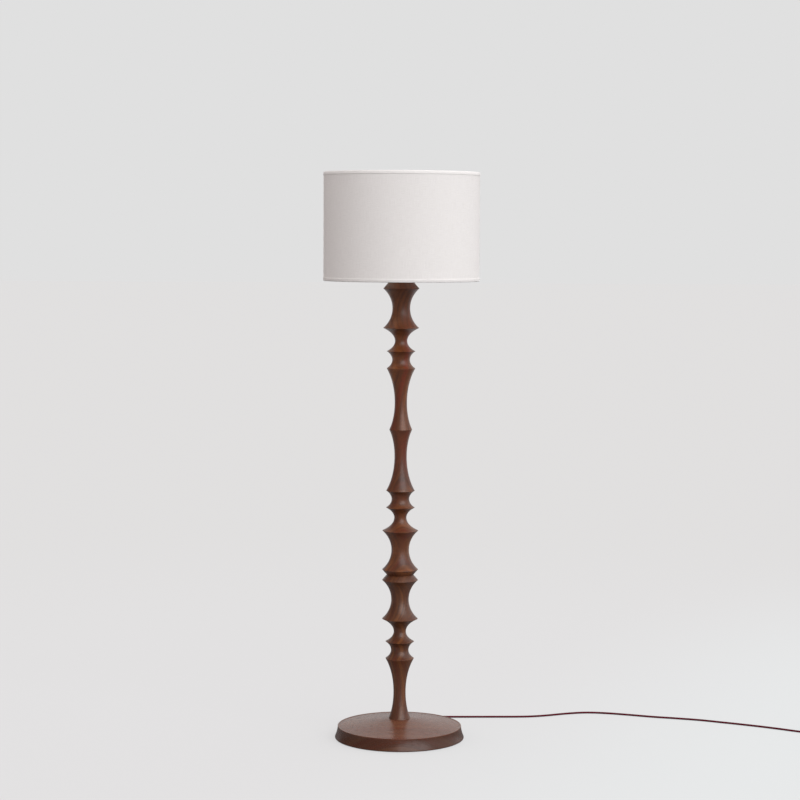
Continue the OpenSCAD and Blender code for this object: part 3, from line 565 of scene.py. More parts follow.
@dataclass(frozen=True)
class OiledWalnut:
    """Turned American walnut, oiled: dark chocolate with reddish and golden streaks.

    The heart of the tree lies beside the blank, so the turned hollows cut through the
    growth rings in long arches.
    """

    grain: Grain = Grain.UPRIGHT
    blank: Point = (0.0, 0.0, 0.0)
    heart: Point = (0.055, 0.07, 0.0)
    late_wood: str = "#43210e"
    early_wood: str = "#723d1c"
    red_streak: str = "#752c14"
    gold_streak: str = "#965a28"
    dark_streak: str = "#37180a"
    pore_colour: str = "#24120c"
    # The colour of painted shade on a side, deepest where end grain takes the oil darker.
    end_grain_and_side_shade: str = "#2b1812"
    worn_edge: str = "#70452f"
    # Rings are 3 to 6 mm on the tree. A band of colour takes in two or three of them.
    ring_mm: float = 5.0
    band_mm: float = 11.0
    # How far the rings stray from true circles.
    stray_mm: float = 14.0
    pore_depth: float = 0.55
    roughness: float = 0.36
    shine: float = 0.7

    def from_heart(self, tree: bpy.types.NodeTree, stood: bpy.types.Node
                   ) -> bpy.types.NodeSocket:
        """Gives the distance from the tree's heart, straying slowly along the grain.

        Args:
            tree: The material's tree.
            stood: The node of the place in the blank.

        Returns:
            The distance in metres.
        """
        noise = add(tree, NOISE, {
            "Vector": add(tree, VECTOR, {0: stood, 1: (1.0, 1.0, 0.1)}, operation="MULTIPLY"),
            "Scale": 14.0, "Detail": 3.0, "Roughness": 0.5})
        centred = add(tree, VECTOR, {0: noise.outputs["Color"], 1: (0.5, 0.5, 0.5)},
                      operation="SUBTRACT")
        stray = self.stray_mm * MM
        pushed = add(tree, VECTOR, {0: centred, 1: (stray, stray, 0.0)}, operation="MULTIPLY")
        moved = add(tree, VECTOR, {0: stood, 1: pushed}, operation="ADD")
        away = add(tree, VECTOR, {0: moved, 1: self.heart}, operation="SUBTRACT")
        flat = add(tree, VECTOR, {0: away, 1: (1.0, 1.0, 0.06)}, operation="MULTIPLY")
        return add(tree, VECTOR, {0: flat}, operation="LENGTH").outputs["Value"]

    def streaks(self, tree: bpy.types.NodeTree, stood: bpy.types.Node,
                reach: bpy.types.NodeSocket) -> list[bpy.types.Node]:
        """Gives the shares of dark, golden and red streaks, which run along the grain.

        Args:
            tree: The material's tree.
            stood: The node of the place in the blank.
            reach: The distance from the heart.

        Returns:
            The share of each colour.
        """
        parts = add(tree, SPLIT, {0: stood}).outputs
        band = add(tree, MATH, {0: reach, 1: self.band_mm * MM}, operation="DIVIDE")
        along, across = (
            add(tree, MATH, {0: parts[axis], 1: per_metre}, operation="MULTIPLY")
            for axis, per_metre in ((2, 2.2), (0, 9.0)))
        noise = add(tree, NOISE, {
            "Vector": add(tree, JOIN, {0: band, 1: along, 2: across}),
            "Scale": 1.0, "Detail": 3.0, "Roughness": 0.6}).outputs
        green = add(tree, "ShaderNodeSeparateColor", {0: noise["Color"]}).outputs[1]
        return [add(tree, RAMP, {0: source}, stops=stops) for source, stops in (
            (green, ((0.5, "#000000"), (0.68, "#c8c8c8"))),
            (noise["Fac"], ((0.49, "#000000"), (0.7, "#c4c4c4"))),
            (noise["Fac"], ((0.34, "#d8d8d8"), (0.47, "#000000"))))]

    def material(self, name: str) -> bpy.types.Material:
        """Builds the wood on object coordinates, from its rings out to its worn edges.

        Args:
            name: The material's name.

        Returns:
            The material.
        """
        made, tree = new_material(name)
        stood = add(tree, "ShaderNodeMapping", {
            "Vector": add(tree, PLACE).outputs["Object"], "Location": self.blank,
            "Rotation": self.grain.value})
        reach = self.from_heart(tree, stood)
        rings = add(tree, MATH, {0: reach, 1: self.ring_mm * MM}, operation="DIVIDE")
        year = add(tree, RAMP, {0: add(tree, MATH, {0: rings}, operation="FRACT")}, stops=(
            (0.0, "#b4b4b4"), (0.2, "#000000"), (0.6, "#343434"), (0.9, "#8c8c8c"),
            (1.0, "#b4b4b4")))
        wood = add(tree, MIX, {
            "Factor": year, "A": linear(self.early_wood), "B": linear(self.late_wood)},
            data_type="RGBA")
        # Pores are dark dashes 0.2 mm wide, drawn 0.8 mm so that they show.
        dashes = add(tree, NOISE, {
            "Vector": add(tree, VECTOR, {0: stood, 1: (1.0, 1.0, 0.05)}, operation="MULTIPLY"),
            "Scale": 900.0, "Detail": 2.0, "Roughness": 0.6})
        pore = add(tree, RAMP, {0: dashes.outputs["Fac"]},
                   stops=((0.34, "#ffffff"), (0.46, "#000000")))
        # Sides get painted shade, darker still where end grain takes the oil. Ridges and rims are
        # rubbed paler.
        stain, rub = (add(tree, "ShaderNodeAttribute", attribute_name=kind).outputs["Fac"]
                      for kind in ("stain", "rub"))
        layers = [*zip(self.streaks(tree, stood, reach),
                       (self.dark_streak, self.gold_streak, self.red_streak))]
        layers += [
            (add(tree, MATH, {0: share, 1: amount}, operation="MULTIPLY"), colour)
            for share, amount, colour in (
                (pore, self.pore_depth, self.pore_colour), (stain, 0.6, self.end_grain_and_side_shade),
                (rub, 0.2, self.worn_edge))]
        for share, colour in layers:
            wood = add(tree, MIX, {"Factor": share, "A": wood, "B": linear(colour)},
                       data_type="RGBA")
        dull = add(tree, MATH, {0: pore, 1: 0.25, 2: self.roughness}, operation="MULTIPLY_ADD")
        height = add(tree, MATH, {0: 1.0, 1: pore}, operation="SUBTRACT")
        bump = add(tree, "ShaderNodeBump", {
            "Strength": 0.35, "Distance": 0.0002, "Height": height})
        surface(tree, {"Base Color": wood, "Roughness": dull, "Normal": bump,
                       "Specular IOR Level": self.shine})
        return made


@dataclass(frozen=True)
class WovenLinen:
    """Plain-woven linen, stretched and glued: off-white threads with slubs."""

    thread: str = "#f4f3f2"
    shadow: str = "#dfdcda"
    slub: str = "#fcfbfa"
    # Real threads are 0.5 mm apart. They are drawn 0.9 mm so that they show close up.
    thread_mm: float = 0.9
    waver_mm: float = 1.2
    relief: float = 0.25

    def weave(self, tree: bpy.types.NodeTree, place: bpy.types.NodeSocket) -> bpy.types.Node:
        """Gives the height of the weave: a thread is over where its neighbour is under.

        Args:
            tree: The material's tree.
            place: The place on the cloth in metres.

        Returns:
            The node of the height, from 0 to 1.
        """
        noise = add(tree, NOISE, {"Vector": place, "Scale": 60.0, "Detail": 2.0})
        waver = self.waver_mm * MM
        push = add(tree, VECTOR, {0: noise.outputs["Color"], 1: (waver, waver, 0.0)},
                   operation="MULTIPLY")
        moved = add(tree, VECTOR, {0: push, 1: place}, operation="ADD")
        parts = add(tree, SPLIT, {0: moved}).outputs
        waves = []
        for axis in (0, 1):
            turn = add(tree, MATH, {0: parts[axis], 1: math.pi / (self.thread_mm * MM)},
                       operation="MULTIPLY")
            waves.append(add(tree, MATH, {0: turn}, operation="SINE"))
        over = add(tree, MATH, {0: waves[0], 1: waves[1]}, operation="MULTIPLY")
        size = add(tree, MATH, {0: over}, operation="ABSOLUTE")
        return add(tree, MATH, {0: size, 1: 0.5}, operation="POWER")

    def material(self, name: str) -> bpy.types.Material:
        """Builds the cloth on the UV map, whose units are metres.

        Args:
            name: The material's name.

        Returns:
            The material.
        """
        made, tree = new_material(name)
        place = add(tree, PLACE).outputs["UV"]
        height = self.weave(tree, place)
        # Slubs are long thick places in the threads of either set.
        slubs = []
        for stretch in ((45.0, 700.0, 0.0), (700.0, 30.0, 0.0)):
            along = add(tree, VECTOR, {0: place, 1: stretch}, operation="MULTIPLY")
            slubs.append(add(tree, NOISE, {
                "Vector": along, "Scale": 1.0, "Detail": 3.0, "Roughness": 0.6}).outputs["Fac"])
        both = add(tree, MATH, {0: slubs[0], 1: slubs[1]}, operation="ADD")
        thick = add(tree, RANGE, {"Value": both, "From Min": 0.75, "From Max": 1.3})
        cloth = add(tree, MIX, {
            "Factor": height, "A": linear(self.shadow), "B": linear(self.thread)},
            data_type="RGBA")
        share = add(tree, MATH, {0: thick, 1: 0.5}, operation="MULTIPLY")
        slubbed = add(tree, MIX, {"Factor": share, "A": cloth, "B": linear(self.slub)},
                      data_type="RGBA")
        rise = add(tree, MATH, {0: thick, 1: 0.6, 2: height}, operation="MULTIPLY_ADD")
        bump = add(tree, "ShaderNodeBump", {
            "Strength": self.relief, "Distance": 0.0003, "Height": rise})
        surface(tree, {"Base Color": slubbed, "Roughness": 0.9, "Normal": bump,
                       "Sheen Weight": 0.15, "Sheen Roughness": 0.5})
        return made


@dataclass(frozen=True)
class Metal:
    """A metal with its tarnish and fine marks: turned, spun, plated or cast."""

    colour: str
    stain: str
    roughness: float
    # Turning and brushing marks are 0.1 mm apart, drawn 0.4 mm so that they show.
    marks_mm: float = 0.4
    marks: Point = (0.02, 0.02, 1.0)
    metallic: float = 1.0
    relief: float = 0.1

    def material(self, name: str) -> bpy.types.Material:
        """Builds the metal on object coordinates.

        Args:
            name: The material's name.

        Returns:
            The material.
        """
        made, tree = new_material(name)
        place = add(tree, PLACE).outputs["Object"]
        cloud = add(tree, NOISE, {
            "Vector": place, "Scale": 90.0, "Detail": 4.0, "Roughness": 0.6}).outputs["Fac"]
        lines = add(tree, NOISE, {
            "Vector": add(tree, VECTOR, {0: place, 1: self.marks}, operation="MULTIPLY"),
            "Scale": 1 / (self.marks_mm * MM), "Detail": 2.0}).outputs["Fac"]
        tint = add(tree, RANGE, {"Value": cloud, "From Min": 0.35, "From Max": 0.8})
        colour = add(tree, MIX, {
            "Factor": tint, "A": linear(self.colour), "B": linear(self.stain)},
            data_type="RGBA")
        rough = add(tree, MATH, {0: lines, 1: 0.16, 2: self.roughness - 0.08},
                    operation="MULTIPLY_ADD")
        bump = add(tree, "ShaderNodeBump", {
            "Strength": self.relief, "Distance": 0.0001, "Height": lines})
        surface(tree, {"Base Color": colour, "Metallic": self.metallic, "Roughness": rough,
                       "Normal": bump})
        return made


@dataclass(frozen=True)
class Moulded:
    """Moulded plastic, rubber, card or enamel: an even colour with a fine texture."""

    colour: str
    speck: str
    roughness: float
    grit_mm: float = 0.5
    relief: float = 0.15
    coat: float = 0.0

    def material(self, name: str) -> bpy.types.Material:
        """Builds the moulded surface on object coordinates.

        Args:
            name: The material's name.

        Returns:
            The material.
        """
        made, tree = new_material(name)
        place = add(tree, PLACE).outputs["Object"]
        grit, cloud = (
            add(tree, NOISE, {"Vector": place, "Scale": scale, "Detail": detail}).outputs["Fac"]
            for scale, detail in ((1 / (self.grit_mm * MM), 3.0), (40.0, 2.0)))
        mixed = add(tree, MATH, {0: grit, 1: cloud}, operation="MULTIPLY")
        tint = add(tree, RANGE, {"Value": mixed, "From Min": 0.12, "From Max": 0.42})
        colour = add(tree, MIX, {
            "Factor": tint, "A": linear(self.colour), "B": linear(self.speck)},
            data_type="RGBA")
        rough = add(tree, MATH, {0: cloud, 1: 0.12, 2: self.roughness - 0.06},
                    operation="MULTIPLY_ADD")
        bump = add(tree, "ShaderNodeBump", {
            "Strength": self.relief, "Distance": 0.0002, "Height": grit})
        surface(tree, {"Base Color": colour, "Roughness": rough, "Normal": bump,
                       "Coat Weight": self.coat, "Coat Roughness": 0.2})
        return made


@dataclass(frozen=True)
class BraidedTextile:
    """Cotton braid over a cable: two sets of strands that cross, dark red, with painted shade in
    the gaps between them.
    """

    strand: str = "#5f0a1d"
    # Colour of the painted shade between the strands.
    strand_gap_shade: str = "#2e040d"
    fibre: str = "#72142a"
    girth: float = math.tau * 0.003
    strands: int = 8
    pitch: float = 0.016

    def material(self, name: str) -> bpy.types.Material:
        """Builds the braid on the UV map: around the cord, then along it, in metres.

        Args:
            name: The material's name.

        Returns:
            The material.
        """
        made, tree = new_material(name)
        place = add(tree, PLACE).outputs["UV"]
        parts = add(tree, SPLIT, {0: place}).outputs
        turned, along = (
            add(tree, MATH, {0: parts[axis], 1: math.tau * self.strands / length},
                operation="MULTIPLY")
            for axis, length in enumerate((self.girth, self.pitch)))
        sets = []
        for way in ("ADD", "SUBTRACT"):
            phase = add(tree, MATH, {0: turned, 1: along}, operation=way)
            sets.append(add(tree, MATH, {0: phase}, operation="COSINE"))
        crossing = add(tree, MATH, {0: sets[0], 1: sets[1]}, operation="MULTIPLY")
        height = add(tree, RANGE, {"Value": crossing, "From Min": -1.0, "From Max": 0.6})
        fibres = add(tree, NOISE, {"Vector": place, "Scale": 1600.0, "Detail": 2.0})
        strand = add(tree, MIX, {
            "Factor": fibres.outputs["Fac"], "A": linear(self.strand), "B": linear(self.fibre)},
            data_type="RGBA")
        # The low places between strands take the painted shade.
        colour = add(tree, MIX, {"Factor": height, "A": linear(self.strand_gap_shade), "B": strand},
                     data_type="RGBA")
        bump = add(tree, "ShaderNodeBump", {
            "Strength": 0.4, "Distance": 0.0003, "Height": height})
        surface(tree, {"Base Color": colour, "Roughness": 0.85, "Specular IOR Level": 0.2,
                       "Normal": bump, "Sheen Weight": 0.05, "Sheen Roughness": 0.4})
        return made


class Finish(Enum):
    """The lamp's finishes by their place in the record."""

    FELT = ("felt", Moulded("#2a2624", "#3d3733", 0.95, grit_mm=0.7, relief=0.8))
    IRON = ("ballast_iron", Metal("#34353a", "#1f1f22", 0.62, metallic=0.4, relief=0.4,
                                  marks=(1.0, 1.0, 1.0)))
    ZINC = ("zinc_steel", Metal("#b9bab6", "#8f908c", 0.34))
    BRASS = ("brass", Metal("#c8a564", "#a07c40", 0.3))
    NICKEL = ("nickel", Metal("#c9c6bf", "#a9a69f", 0.2))
    RUBBER = ("black_rubber", Moulded("#231a19", "#302625", 0.7))
    PHENOLIC = ("black_phenolic", Moulded("#1b1817", "#2a2523", 0.32, coat=0.2))
    CARD = ("card_liner", Moulded("#8d7155", "#75593f", 0.85, grit_mm=1.2, relief=0.4))
    SLEEVE = ("lead_insulation", Moulded("#cdbfae", "#b8a896", 0.6))
    OPAL = ("opal_glass", Moulded("#f4f1e9", "#ebe7dd", 0.22, grit_mm=6.0, relief=0.02,
                                  coat=0.4))
    ENAMEL = ("white_wire", Moulded("#e6e3dc", "#d8d4cb", 0.45, grit_mm=0.8))
    FILM = ("white_liner", Moulded("#f4f3ef", "#eae8e2", 0.6, grit_mm=2.0, relief=0.05))
    PVC = ("plug_plastic", Moulded("#2c181b", "#3a2226", 0.5))
    HOOK_TAPE = ("tie_fabric", Moulded("#2a2728", "#3a3637", 0.95, grit_mm=0.8, relief=0.9))
    LINEN = ("linen", WovenLinen())
    TAPE = ("linen_trim", WovenLinen(thread="#f8f7f6", shadow="#e5e2e0", relief=0.35))
    BRAID = ("textile_cord", BraidedTextile())

    def material(self) -> bpy.types.Material:
        """Gives the finish's one material, which it builds the first time.

        Returns:
            The material.
        """
        slot, recipe = self.value
        name = f"mat_{slot}"
        return bpy.data.materials.get(name) or recipe.material(name)

    def dress(self, *nodes: str) -> None:
        """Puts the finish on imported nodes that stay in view.

        Args:
            nodes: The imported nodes' names.
        """
        for node in nodes:
            mesh = FRAME["nodes"][node].data
            mesh.materials.clear()
            mesh.materials.append(self.material())

    def piece(self, mesh: bpy.types.Mesh, body: str, *nodes: str, sharp: float = 35
              ) -> bpy.types.Object:
        """Makes a finished piece of a mesh.

        Args:
            mesh: The piece's mesh, whose name is the piece's name.
            body: The body that it rides on.
            nodes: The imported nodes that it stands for.
            sharp: Degrees past which its edges are sharp.

        Returns:
            The piece.
        """
        return settle(as_piece(mesh.name, mesh, self.material(), sharp), body, self.value[0],
                      *nodes)


def settle(piece: bpy.types.Object, body: str, slot: str, *nodes: str) -> bpy.types.Object:
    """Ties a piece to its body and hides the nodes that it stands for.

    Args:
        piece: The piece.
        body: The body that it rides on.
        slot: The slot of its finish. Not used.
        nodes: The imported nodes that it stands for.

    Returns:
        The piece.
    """
    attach(piece, body)
    if nodes:
        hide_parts(*nodes)
    LOG.info("%s rides on %s for %s", piece.name, body, ", ".join(nodes) or "itself")
    return piece


def heights(node: str) -> tuple[float, float]:
    """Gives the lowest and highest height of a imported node, in millimetres."""
    low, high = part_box(node)
    return low.z / MM, high.z / MM


# ---------------------------------------------------------------- Camera, floor and light


@dataclass
class Studio:
    """The camera, a pale floor that curves up behind the lamp, and soft lights."""

    camera_at: Point = (-0.0025, -6.2737, 1.4663)
    pitch: float = 4.349
    roll: float = 0.26
    focal: float = 98.06
    backdrop: str = "#e0e0e0"
    lit_near_floor: str = "#e3e3e4"
    lit_floor: str = "#e9edee"
    ambient: Point = (0.86, 0.79, 0.77)
    lights: Point = (1.0, 1.03, 1.05)
    dim: float = 0.1
    dim_from: float = 0.45
    dim_to: float = 0.93
    dim_tilt: float = 0.1
    floor_bounce: float = 0.1
    floor_glow: float = 0.742
    floor_albedo: float = 0.17
    floor_reach: float = 60.0
    floor_drop: float = 0.4
    # The paper's painted light changes between these distances in metres: brighter near the
    # lamp than at the backdrop, a cool painted pool of light away from the lights to towards
    # them, fading from beside the lamp to far from it.
    tone_from_to: tuple[float, float] = (0.6, 5.0)
    lit_from_to: tuple[float, float] = (-0.2, 1.3)
    beside_from_to: tuple[float, float] = (1.4, 4.5)
    lit_way: Point = (1.0, -0.45, 0.0)
    # Each sun's name, its turn, rise and spread in degrees, and its strength.
    suns: tuple[tuple[str, float, float, float, float], ...] = (
        ("key_light", 28.0, 30.0, 54.0, 1.33), ("side_light", 90.0, 20.0, 90.0, 0.82))

    def place_camera(self) -> None:
        """Stands the camera at the photograph's place."""
        data = bpy.data.cameras.new("camera")
        data.lens = self.focal
        data.sensor_width = 36.0
        made = bpy.data.objects.new("camera", data)
        bpy.context.scene.collection.objects.link(made)
        made.matrix_world = (
            Matrix.Translation(self.camera_at)
            @ Matrix.Rotation(math.radians(90 - self.pitch), 4, "X")
            @ Matrix.Rotation(math.radians(self.roll), 4, "Z")
        )
        bpy.context.scene.camera = made

    def seen(self, tree: bpy.types.NodeTree, colour: Any, facing: Any) -> bpy.types.Node:
        """Shows a colour as it is to the camera and through glass, and dimmer towards the
        front in reflections, as the unlit side of a studio is.

        Args:
            tree: The material's or the world's tree.
            colour: The colour that the camera sees, or the node that gives it.
            facing: Vector whose Y runs from the viewer's side to the back, as -1 to 1.

        Returns:
            The node that gives the colour.
        """
        depth = add(tree, VECTOR, {0: facing, 1: (self.dim_tilt, 1.0, 0.0)},
                    operation="DOT_PRODUCT")
        share = add(tree, RANGE, {
            "Value": depth.outputs["Value"], "From Min": self.dim_from,
            "From Max": self.dim_to, "To Min": self.dim, "To Max": 1.0},
            interpolation_type="SMOOTHSTEP")
        dimmed = add(tree, MIX, {"Factor": share, "A": linear("#000000"), "B": colour},
                     data_type="RGBA")
        rays = add(tree, "ShaderNodeLightPath").outputs
        return add(tree, MIX, {"Factor": rays["Is Glossy Ray"], "A": colour, "B": dimmed},
                   data_type="RGBA")

    def in_view(self, tree: bpy.types.NodeTree) -> bpy.types.Node:
        """Gives 1 to rays from the camera, from reflections and through glass.

        Args:
            tree: The material's or the world's tree.

        Returns:
            The node that gives 1 or 0.
        """
        rays = add(tree, "ShaderNodeLightPath").outputs
        bent = add(tree, MATH, {0: rays["Is Glossy Ray"], 1: rays["Is Transmission Ray"]},
                   operation="MAXIMUM")
        return add(tree, MATH, {0: rays["Is Camera Ray"], 1: bent}, operation="MAXIMUM")

    def paper_with_painted_light(self, tree: bpy.types.NodeTree, place: bpy.types.NodeSocket
                   ) -> bpy.types.Node:
        """Gives the paper's colour with painted light, brighter and cooler beside the lamp
        towards the lights.

        Args:
            tree: The material's tree.
            place: The place on the paper in metres.

        Returns:
            The node that gives the colour.
        """
        away = add(tree, VECTOR, {0: place}, operation="LENGTH").outputs["Value"]
        towards = add(tree, VECTOR, {0: place, 1: self.lit_way},
                      operation="DOT_PRODUCT").outputs["Value"]
        far, lit, beside = (
            add(tree, RANGE, {"Value": value, "From Min": start, "From Max": end,
                              "To Min": low, "To Max": 1.0 - low},
                interpolation_type="SMOOTHSTEP")
            for value, (start, end), low in (
                (away, self.tone_from_to, 0.0), (towards, self.lit_from_to, 0.0),
                (away, self.beside_from_to, 1.0)))
        tone = add(tree, MIX, {
            "Factor": far, "A": linear(self.lit_near_floor), "B": linear(self.backdrop)},
            data_type="RGBA")
        share = add(tree, MATH, {0: lit, 1: beside}, operation="MULTIPLY")
        return add(tree, MIX, {"Factor": share, "A": tone, "B": linear(self.lit_floor)},
                   data_type="RGBA")

    def paper(self) -> bpy.types.Material:
        """Builds the backdrop's paper, which shows its own colour with painted light, and the
        lamp's shadow.

        Returns:
            The material.
        """
        made, tree = new_material("paper")
        place = add(tree, PLACE).outputs["Object"]
        ahead = add(tree, VECTOR, {0: place, "Scale": 0.5}, operation="SCALE")
        glow = add(tree, "ShaderNodeEmission", {
            "Color": self.seen(tree, self.paper_with_painted_light(tree, place), ahead),
            "Strength": self.floor_glow})
        matt, plain = (
            add(tree, "ShaderNodeBsdfDiffuse", {"Color": (grey, grey, grey, 1.0)})
            for grey in (self.floor_albedo, self.floor_bounce))
        both = add(tree, "ShaderNodeAddShader", {0: glow, 1: matt})
        mixed = add(tree, "ShaderNodeMixShader", {0: self.in_view(tree), 1: plain, 2: both})
        add(tree, "ShaderNodeOutputMaterial", {"Surface": mixed})
        return made

    def lay_paper(self) -> None:
        """Lays the floor, wide enough for every view, just below the felt."""
        bm = bmesh.new()
        bmesh.ops.create_grid(bm, x_segments=2, y_segments=2, size=self.floor_reach)
        mesh = bpy.data.meshes.new("paper_floor")
        bm.to_mesh(mesh)
        bm.free()
        mesh.transform(Matrix.Translation((0, 0, -self.floor_drop * MM)))
        as_piece("paper_floor", mesh, self.paper())

    def light(self) -> None:
        """Hangs a large key light front right, a side light and an even sky."""
        world = bpy.data.worlds.new("sky")
        world.use_nodes = True
        tree = world.node_tree
        tree.nodes.clear()
        sky = add(tree, "ShaderNodeBackground", {"Color": (*self.ambient, 1.0)})
        card = add(tree, "ShaderNodeBackground", {"Color": self.seen(
            tree, linear(self.backdrop), add(tree, PLACE).outputs["Generated"])})
        mixed = add(tree, "ShaderNodeMixShader", {0: self.in_view(tree), 1: sky, 2: card})
        add(tree, "ShaderNodeOutputWorld", {"Surface": mixed})
        bpy.context.scene.world = world
        for name, turn, rise, spread, power in self.suns:
            data = bpy.data.lights.new(name, "SUN")
            data.color = self.lights
            data.angle = math.radians(spread)
            data.energy = power
            lamp = bpy.data.objects.new(name, data)
            bpy.context.scene.collection.objects.link(lamp)
            a, e = math.radians(turn), math.radians(rise)
            at = Vector((math.sin(a) * math.cos(e), -math.cos(a) * math.cos(e), math.sin(e)))
            lamp.matrix_world = at.to_track_quat("Z", "Y").to_matrix().to_4x4()
        bpy.context.scene.view_settings.view_transform = "Standard"


# ---------------------------------------------------------------- Cord


@dataclass
class MainsCord:
    """The free cord: a lazy wave to the right, then a neat coil, a tie and the plug."""

    diameter: float = 6.0
    braid_relief: float = 0.22
    braid_step: float = 1.6
    route: tuple[Point, ...] = (
        (0, 216, 8), (0, 224, 7.6), (4, 238, 5.6), (14, 252, 3.8), (30, 263, 3.1),
        (52, 268, 3.1), (90, 267, 3.1), (150, 265, 3.1), (210, 266, 3.1), (280, 268, 3.1),
        (350, 270, 3.1), (400, 275, 3.1), (450, 290, 3.1), (510, 316, 3.1), (570, 332, 3.1),
        (630, 326, 3.1), (700, 304, 3.1), (770, 278, 3.1), (840, 258, 3.1), (910, 235, 3.1),
        (970, 207, 3.1), (1030, 178, 3.1), (1090, 146, 3.1), (1140, 116, 3.1),
        (1180, 90, 3.1), (1210, 71, 3.6),
    )
    coil_centre: tuple[float, float] = (1264.0, 90.0)
    coil_turns: float = 5.5
    coil_radius: float = 25.5
    coil_pitch: float = 6.6
    coil_lift: float = 6.5
    coil_height: float = 4.1
    coil_angle: float = -122.0
    tail: float = 16.0
    points_per_turn: int = 24
    tie_inner: float = 22.0
    tie_outer: float = 47.2
    tie_bottom: float = 0.95
    tie_top: float = 14.15
    tie_corner: float = 3.0
    tie_thickness: float = 0.8
    tie_width: float = 12.0
    tie_angle: float = -30.0
    neck: float = 16.0
    neck_radii: tuple[float, float] = (4.0, 6.0)
    # Distance along, half width, half height and squareness of each section of the grip.
    grip: tuple[tuple[float, float, float, float], ...] = (
        (16.4, 7.2, 7.0, 2.2), (17.4, 9.6, 9.0, 2.8), (19.5, 11.2, 9.9, 3.6),
        (23.0, 11.6, 10.2, 4.2), (28.0, 11.2, 9.9, 4.2), (34.0, 11.0, 9.8, 4.2),
        (40.0, 11.6, 10.2, 4.4), (45.0, 12.2, 10.5, 5.0), (48.6, 12.4, 10.5, 5.0),
        (49.7, 11.9, 10.0, 5.0), (50.0, 11.0, 9.2, 5.0),
    )

    def coil_point(self, turn: float) -> Point:
        """The coil's middle line: in for half of its turns, up a layer, and out again.

        Args:
            turn: Turns from the coil's start.

        Returns:
            The point in millimetres.
        """
        half = self.coil_turns / 2
        radius = self.coil_radius + self.coil_pitch * abs(turn - half)
        climb = min(max((turn - half + 0.25) * 2, 0), 1)
        a = math.radians(self.coil_angle + 360 * turn)
        return (
            self.coil_centre[0] + radius * math.cos(a),
            self.coil_centre[1] + radius * math.sin(a),
            self.coil_height + self.coil_lift * climb,
        )

    def heading(self) -> Vector:
        """The way the cord runs where it meets the coil."""
        a = math.radians(self.coil_angle + 90)
        return Vector((math.cos(a), math.sin(a), 0))

    def line(self) -> list[Vector]:
        """The whole middle line in metres, from the strain relief to the plug.

        Returns:
            The line's points.
        """
        start, ahead = Vector(self.coil_point(0)), self.heading()
        lead_in = [start - ahead * self.diameter * k for k in (2, 1)]
        free = smooth_path([*self.route, *(tuple(p) for p in lead_in)], 6)
        steps = round(self.coil_turns * self.points_per_turn)
        coil = [self.coil_point(k / self.points_per_turn) for k in range(steps + 1)]
        coil += [tuple(Vector(coil[-1]) - ahead * self.tail * k / 3) for k in (1, 2, 3)]
        wound = smooth_path(coil, 2)
        return [p * MM for p in free + wound]

    def build(self) -> None:
        path = even_path(self.line(), self.braid_step * MM)
        weave = BraidedTextile()
        mesh = tube("textile_cord", path, self.diameter / 2 * MM, 16,
                    relief=self.braid_relief * MM, turns=weave.strands // 2, pitch=weave.pitch)
        cord = Finish.BRAID.piece(mesh, "stand", "cord", "cord_coil", sharp=80)
        plug = self.plug()
        tie = self.tie()
        Finish.NICKEL.dress("plug_blades")
        round(runs(path)[-1], 3)

    def tie(self) -> bpy.types.Object:
        """Wraps the woven tie round the coil's two layers.

        Returns:
            The tie.
        """
        size = Vector((self.tie_outer - self.tie_inner, self.tie_top - self.tie_bottom))
        centre = Vector((self.tie_inner, self.tie_bottom)) + size / 2
        path = rounded([
            (self.tie_inner, self.tie_bottom), (self.tie_outer, self.tie_bottom),
            (self.tie_outer, self.tie_top), (self.tie_inner, self.tie_top)],
            self.tie_corner, steps=5)
        place = Matrix.Translation((*self.coil_centre, 0)) @ Matrix.Rotation(
            math.radians(self.tie_angle), 4, "Z")
        bm = bmesh.new()
        made = []
        for x, z in path:
            out = Vector((x, z)) - centre
            # The two short sides gain their thickness more sideways than upwards.
            if abs(out.x) * size.y > abs(out.y) * size.x:
                out.x = math.copysign(out.length, out.x)
            out.normalize()
            made.append([
                bm.verts.new((place @ Vector((x + out.x * rise, y, z + out.y * rise))) * MM)
                for rise in (0.0, self.tie_thickness)
                for y in (-self.tie_width / 2, self.tie_width / 2)])
        for a, b in zip(made, made[1:] + made[:1]):
            for i, j in ((0, 1), (1, 3), (3, 2), (2, 0)):
                bm.faces.new((a[i], a[j], b[j], b[i]))
        bmesh.ops.remove_doubles(bm, verts=bm.verts, dist=0.05 * MM)
        return Finish.HOOK_TAPE.piece(from_bmesh(bm, "coil_tape"), "stand", "coil_tie")

    def neck_sections(self) -> list[tuple[float, float, float, float]]:
        """The plug's ribbed neck, in the same terms as its grip.

        Returns:
            The neck's sections.
        """
        (small, large), steps = self.neck_radii, 16
        sections = []
        for k in range(steps + 1):
            rib = (0.35 if k % 4 in (1, 2) else -0.25) if 1 < k < steps - 1 else 0.0
            r = small + (large - small) * k / steps + rib
            sections.append((self.neck * k / steps, r, r, 2.0))
        return sections

    def plug(self) -> bpy.types.Object:
        """Builds the moulded plug: a ribbed neck and a grip that narrows at its waist.

        Returns:
            The plug.
        """
        end = Vector(self.coil_point(self.coil_turns)) - self.heading() * self.tail
        place = Matrix.Translation(end) @ Matrix.Rotation(
            math.radians(self.coil_angle + 270), 4, "Z")
        rings, lengths = [], []
        for x, half, high, power in (*self.neck_sections(), *self.grip):
            ring = []
            for c, s in ((math.cos(a), math.sin(a)) for a in around(48)):
                y = math.copysign(abs(c) ** (2 / power), c) * half
                z = math.copysign(abs(s) ** (2 / power), s) * high
                ring.append((place @ Vector((x, y, z))) * MM)
            rings.append(ring)
            lengths.append(x * MM)
        mesh = rings_mesh("mains_plug", rings, lengths, 0.07)
        return Finish.PVC.piece(mesh, "stand", "plug_body", sharp=50)


# ---------------------------------------------------------------- Base


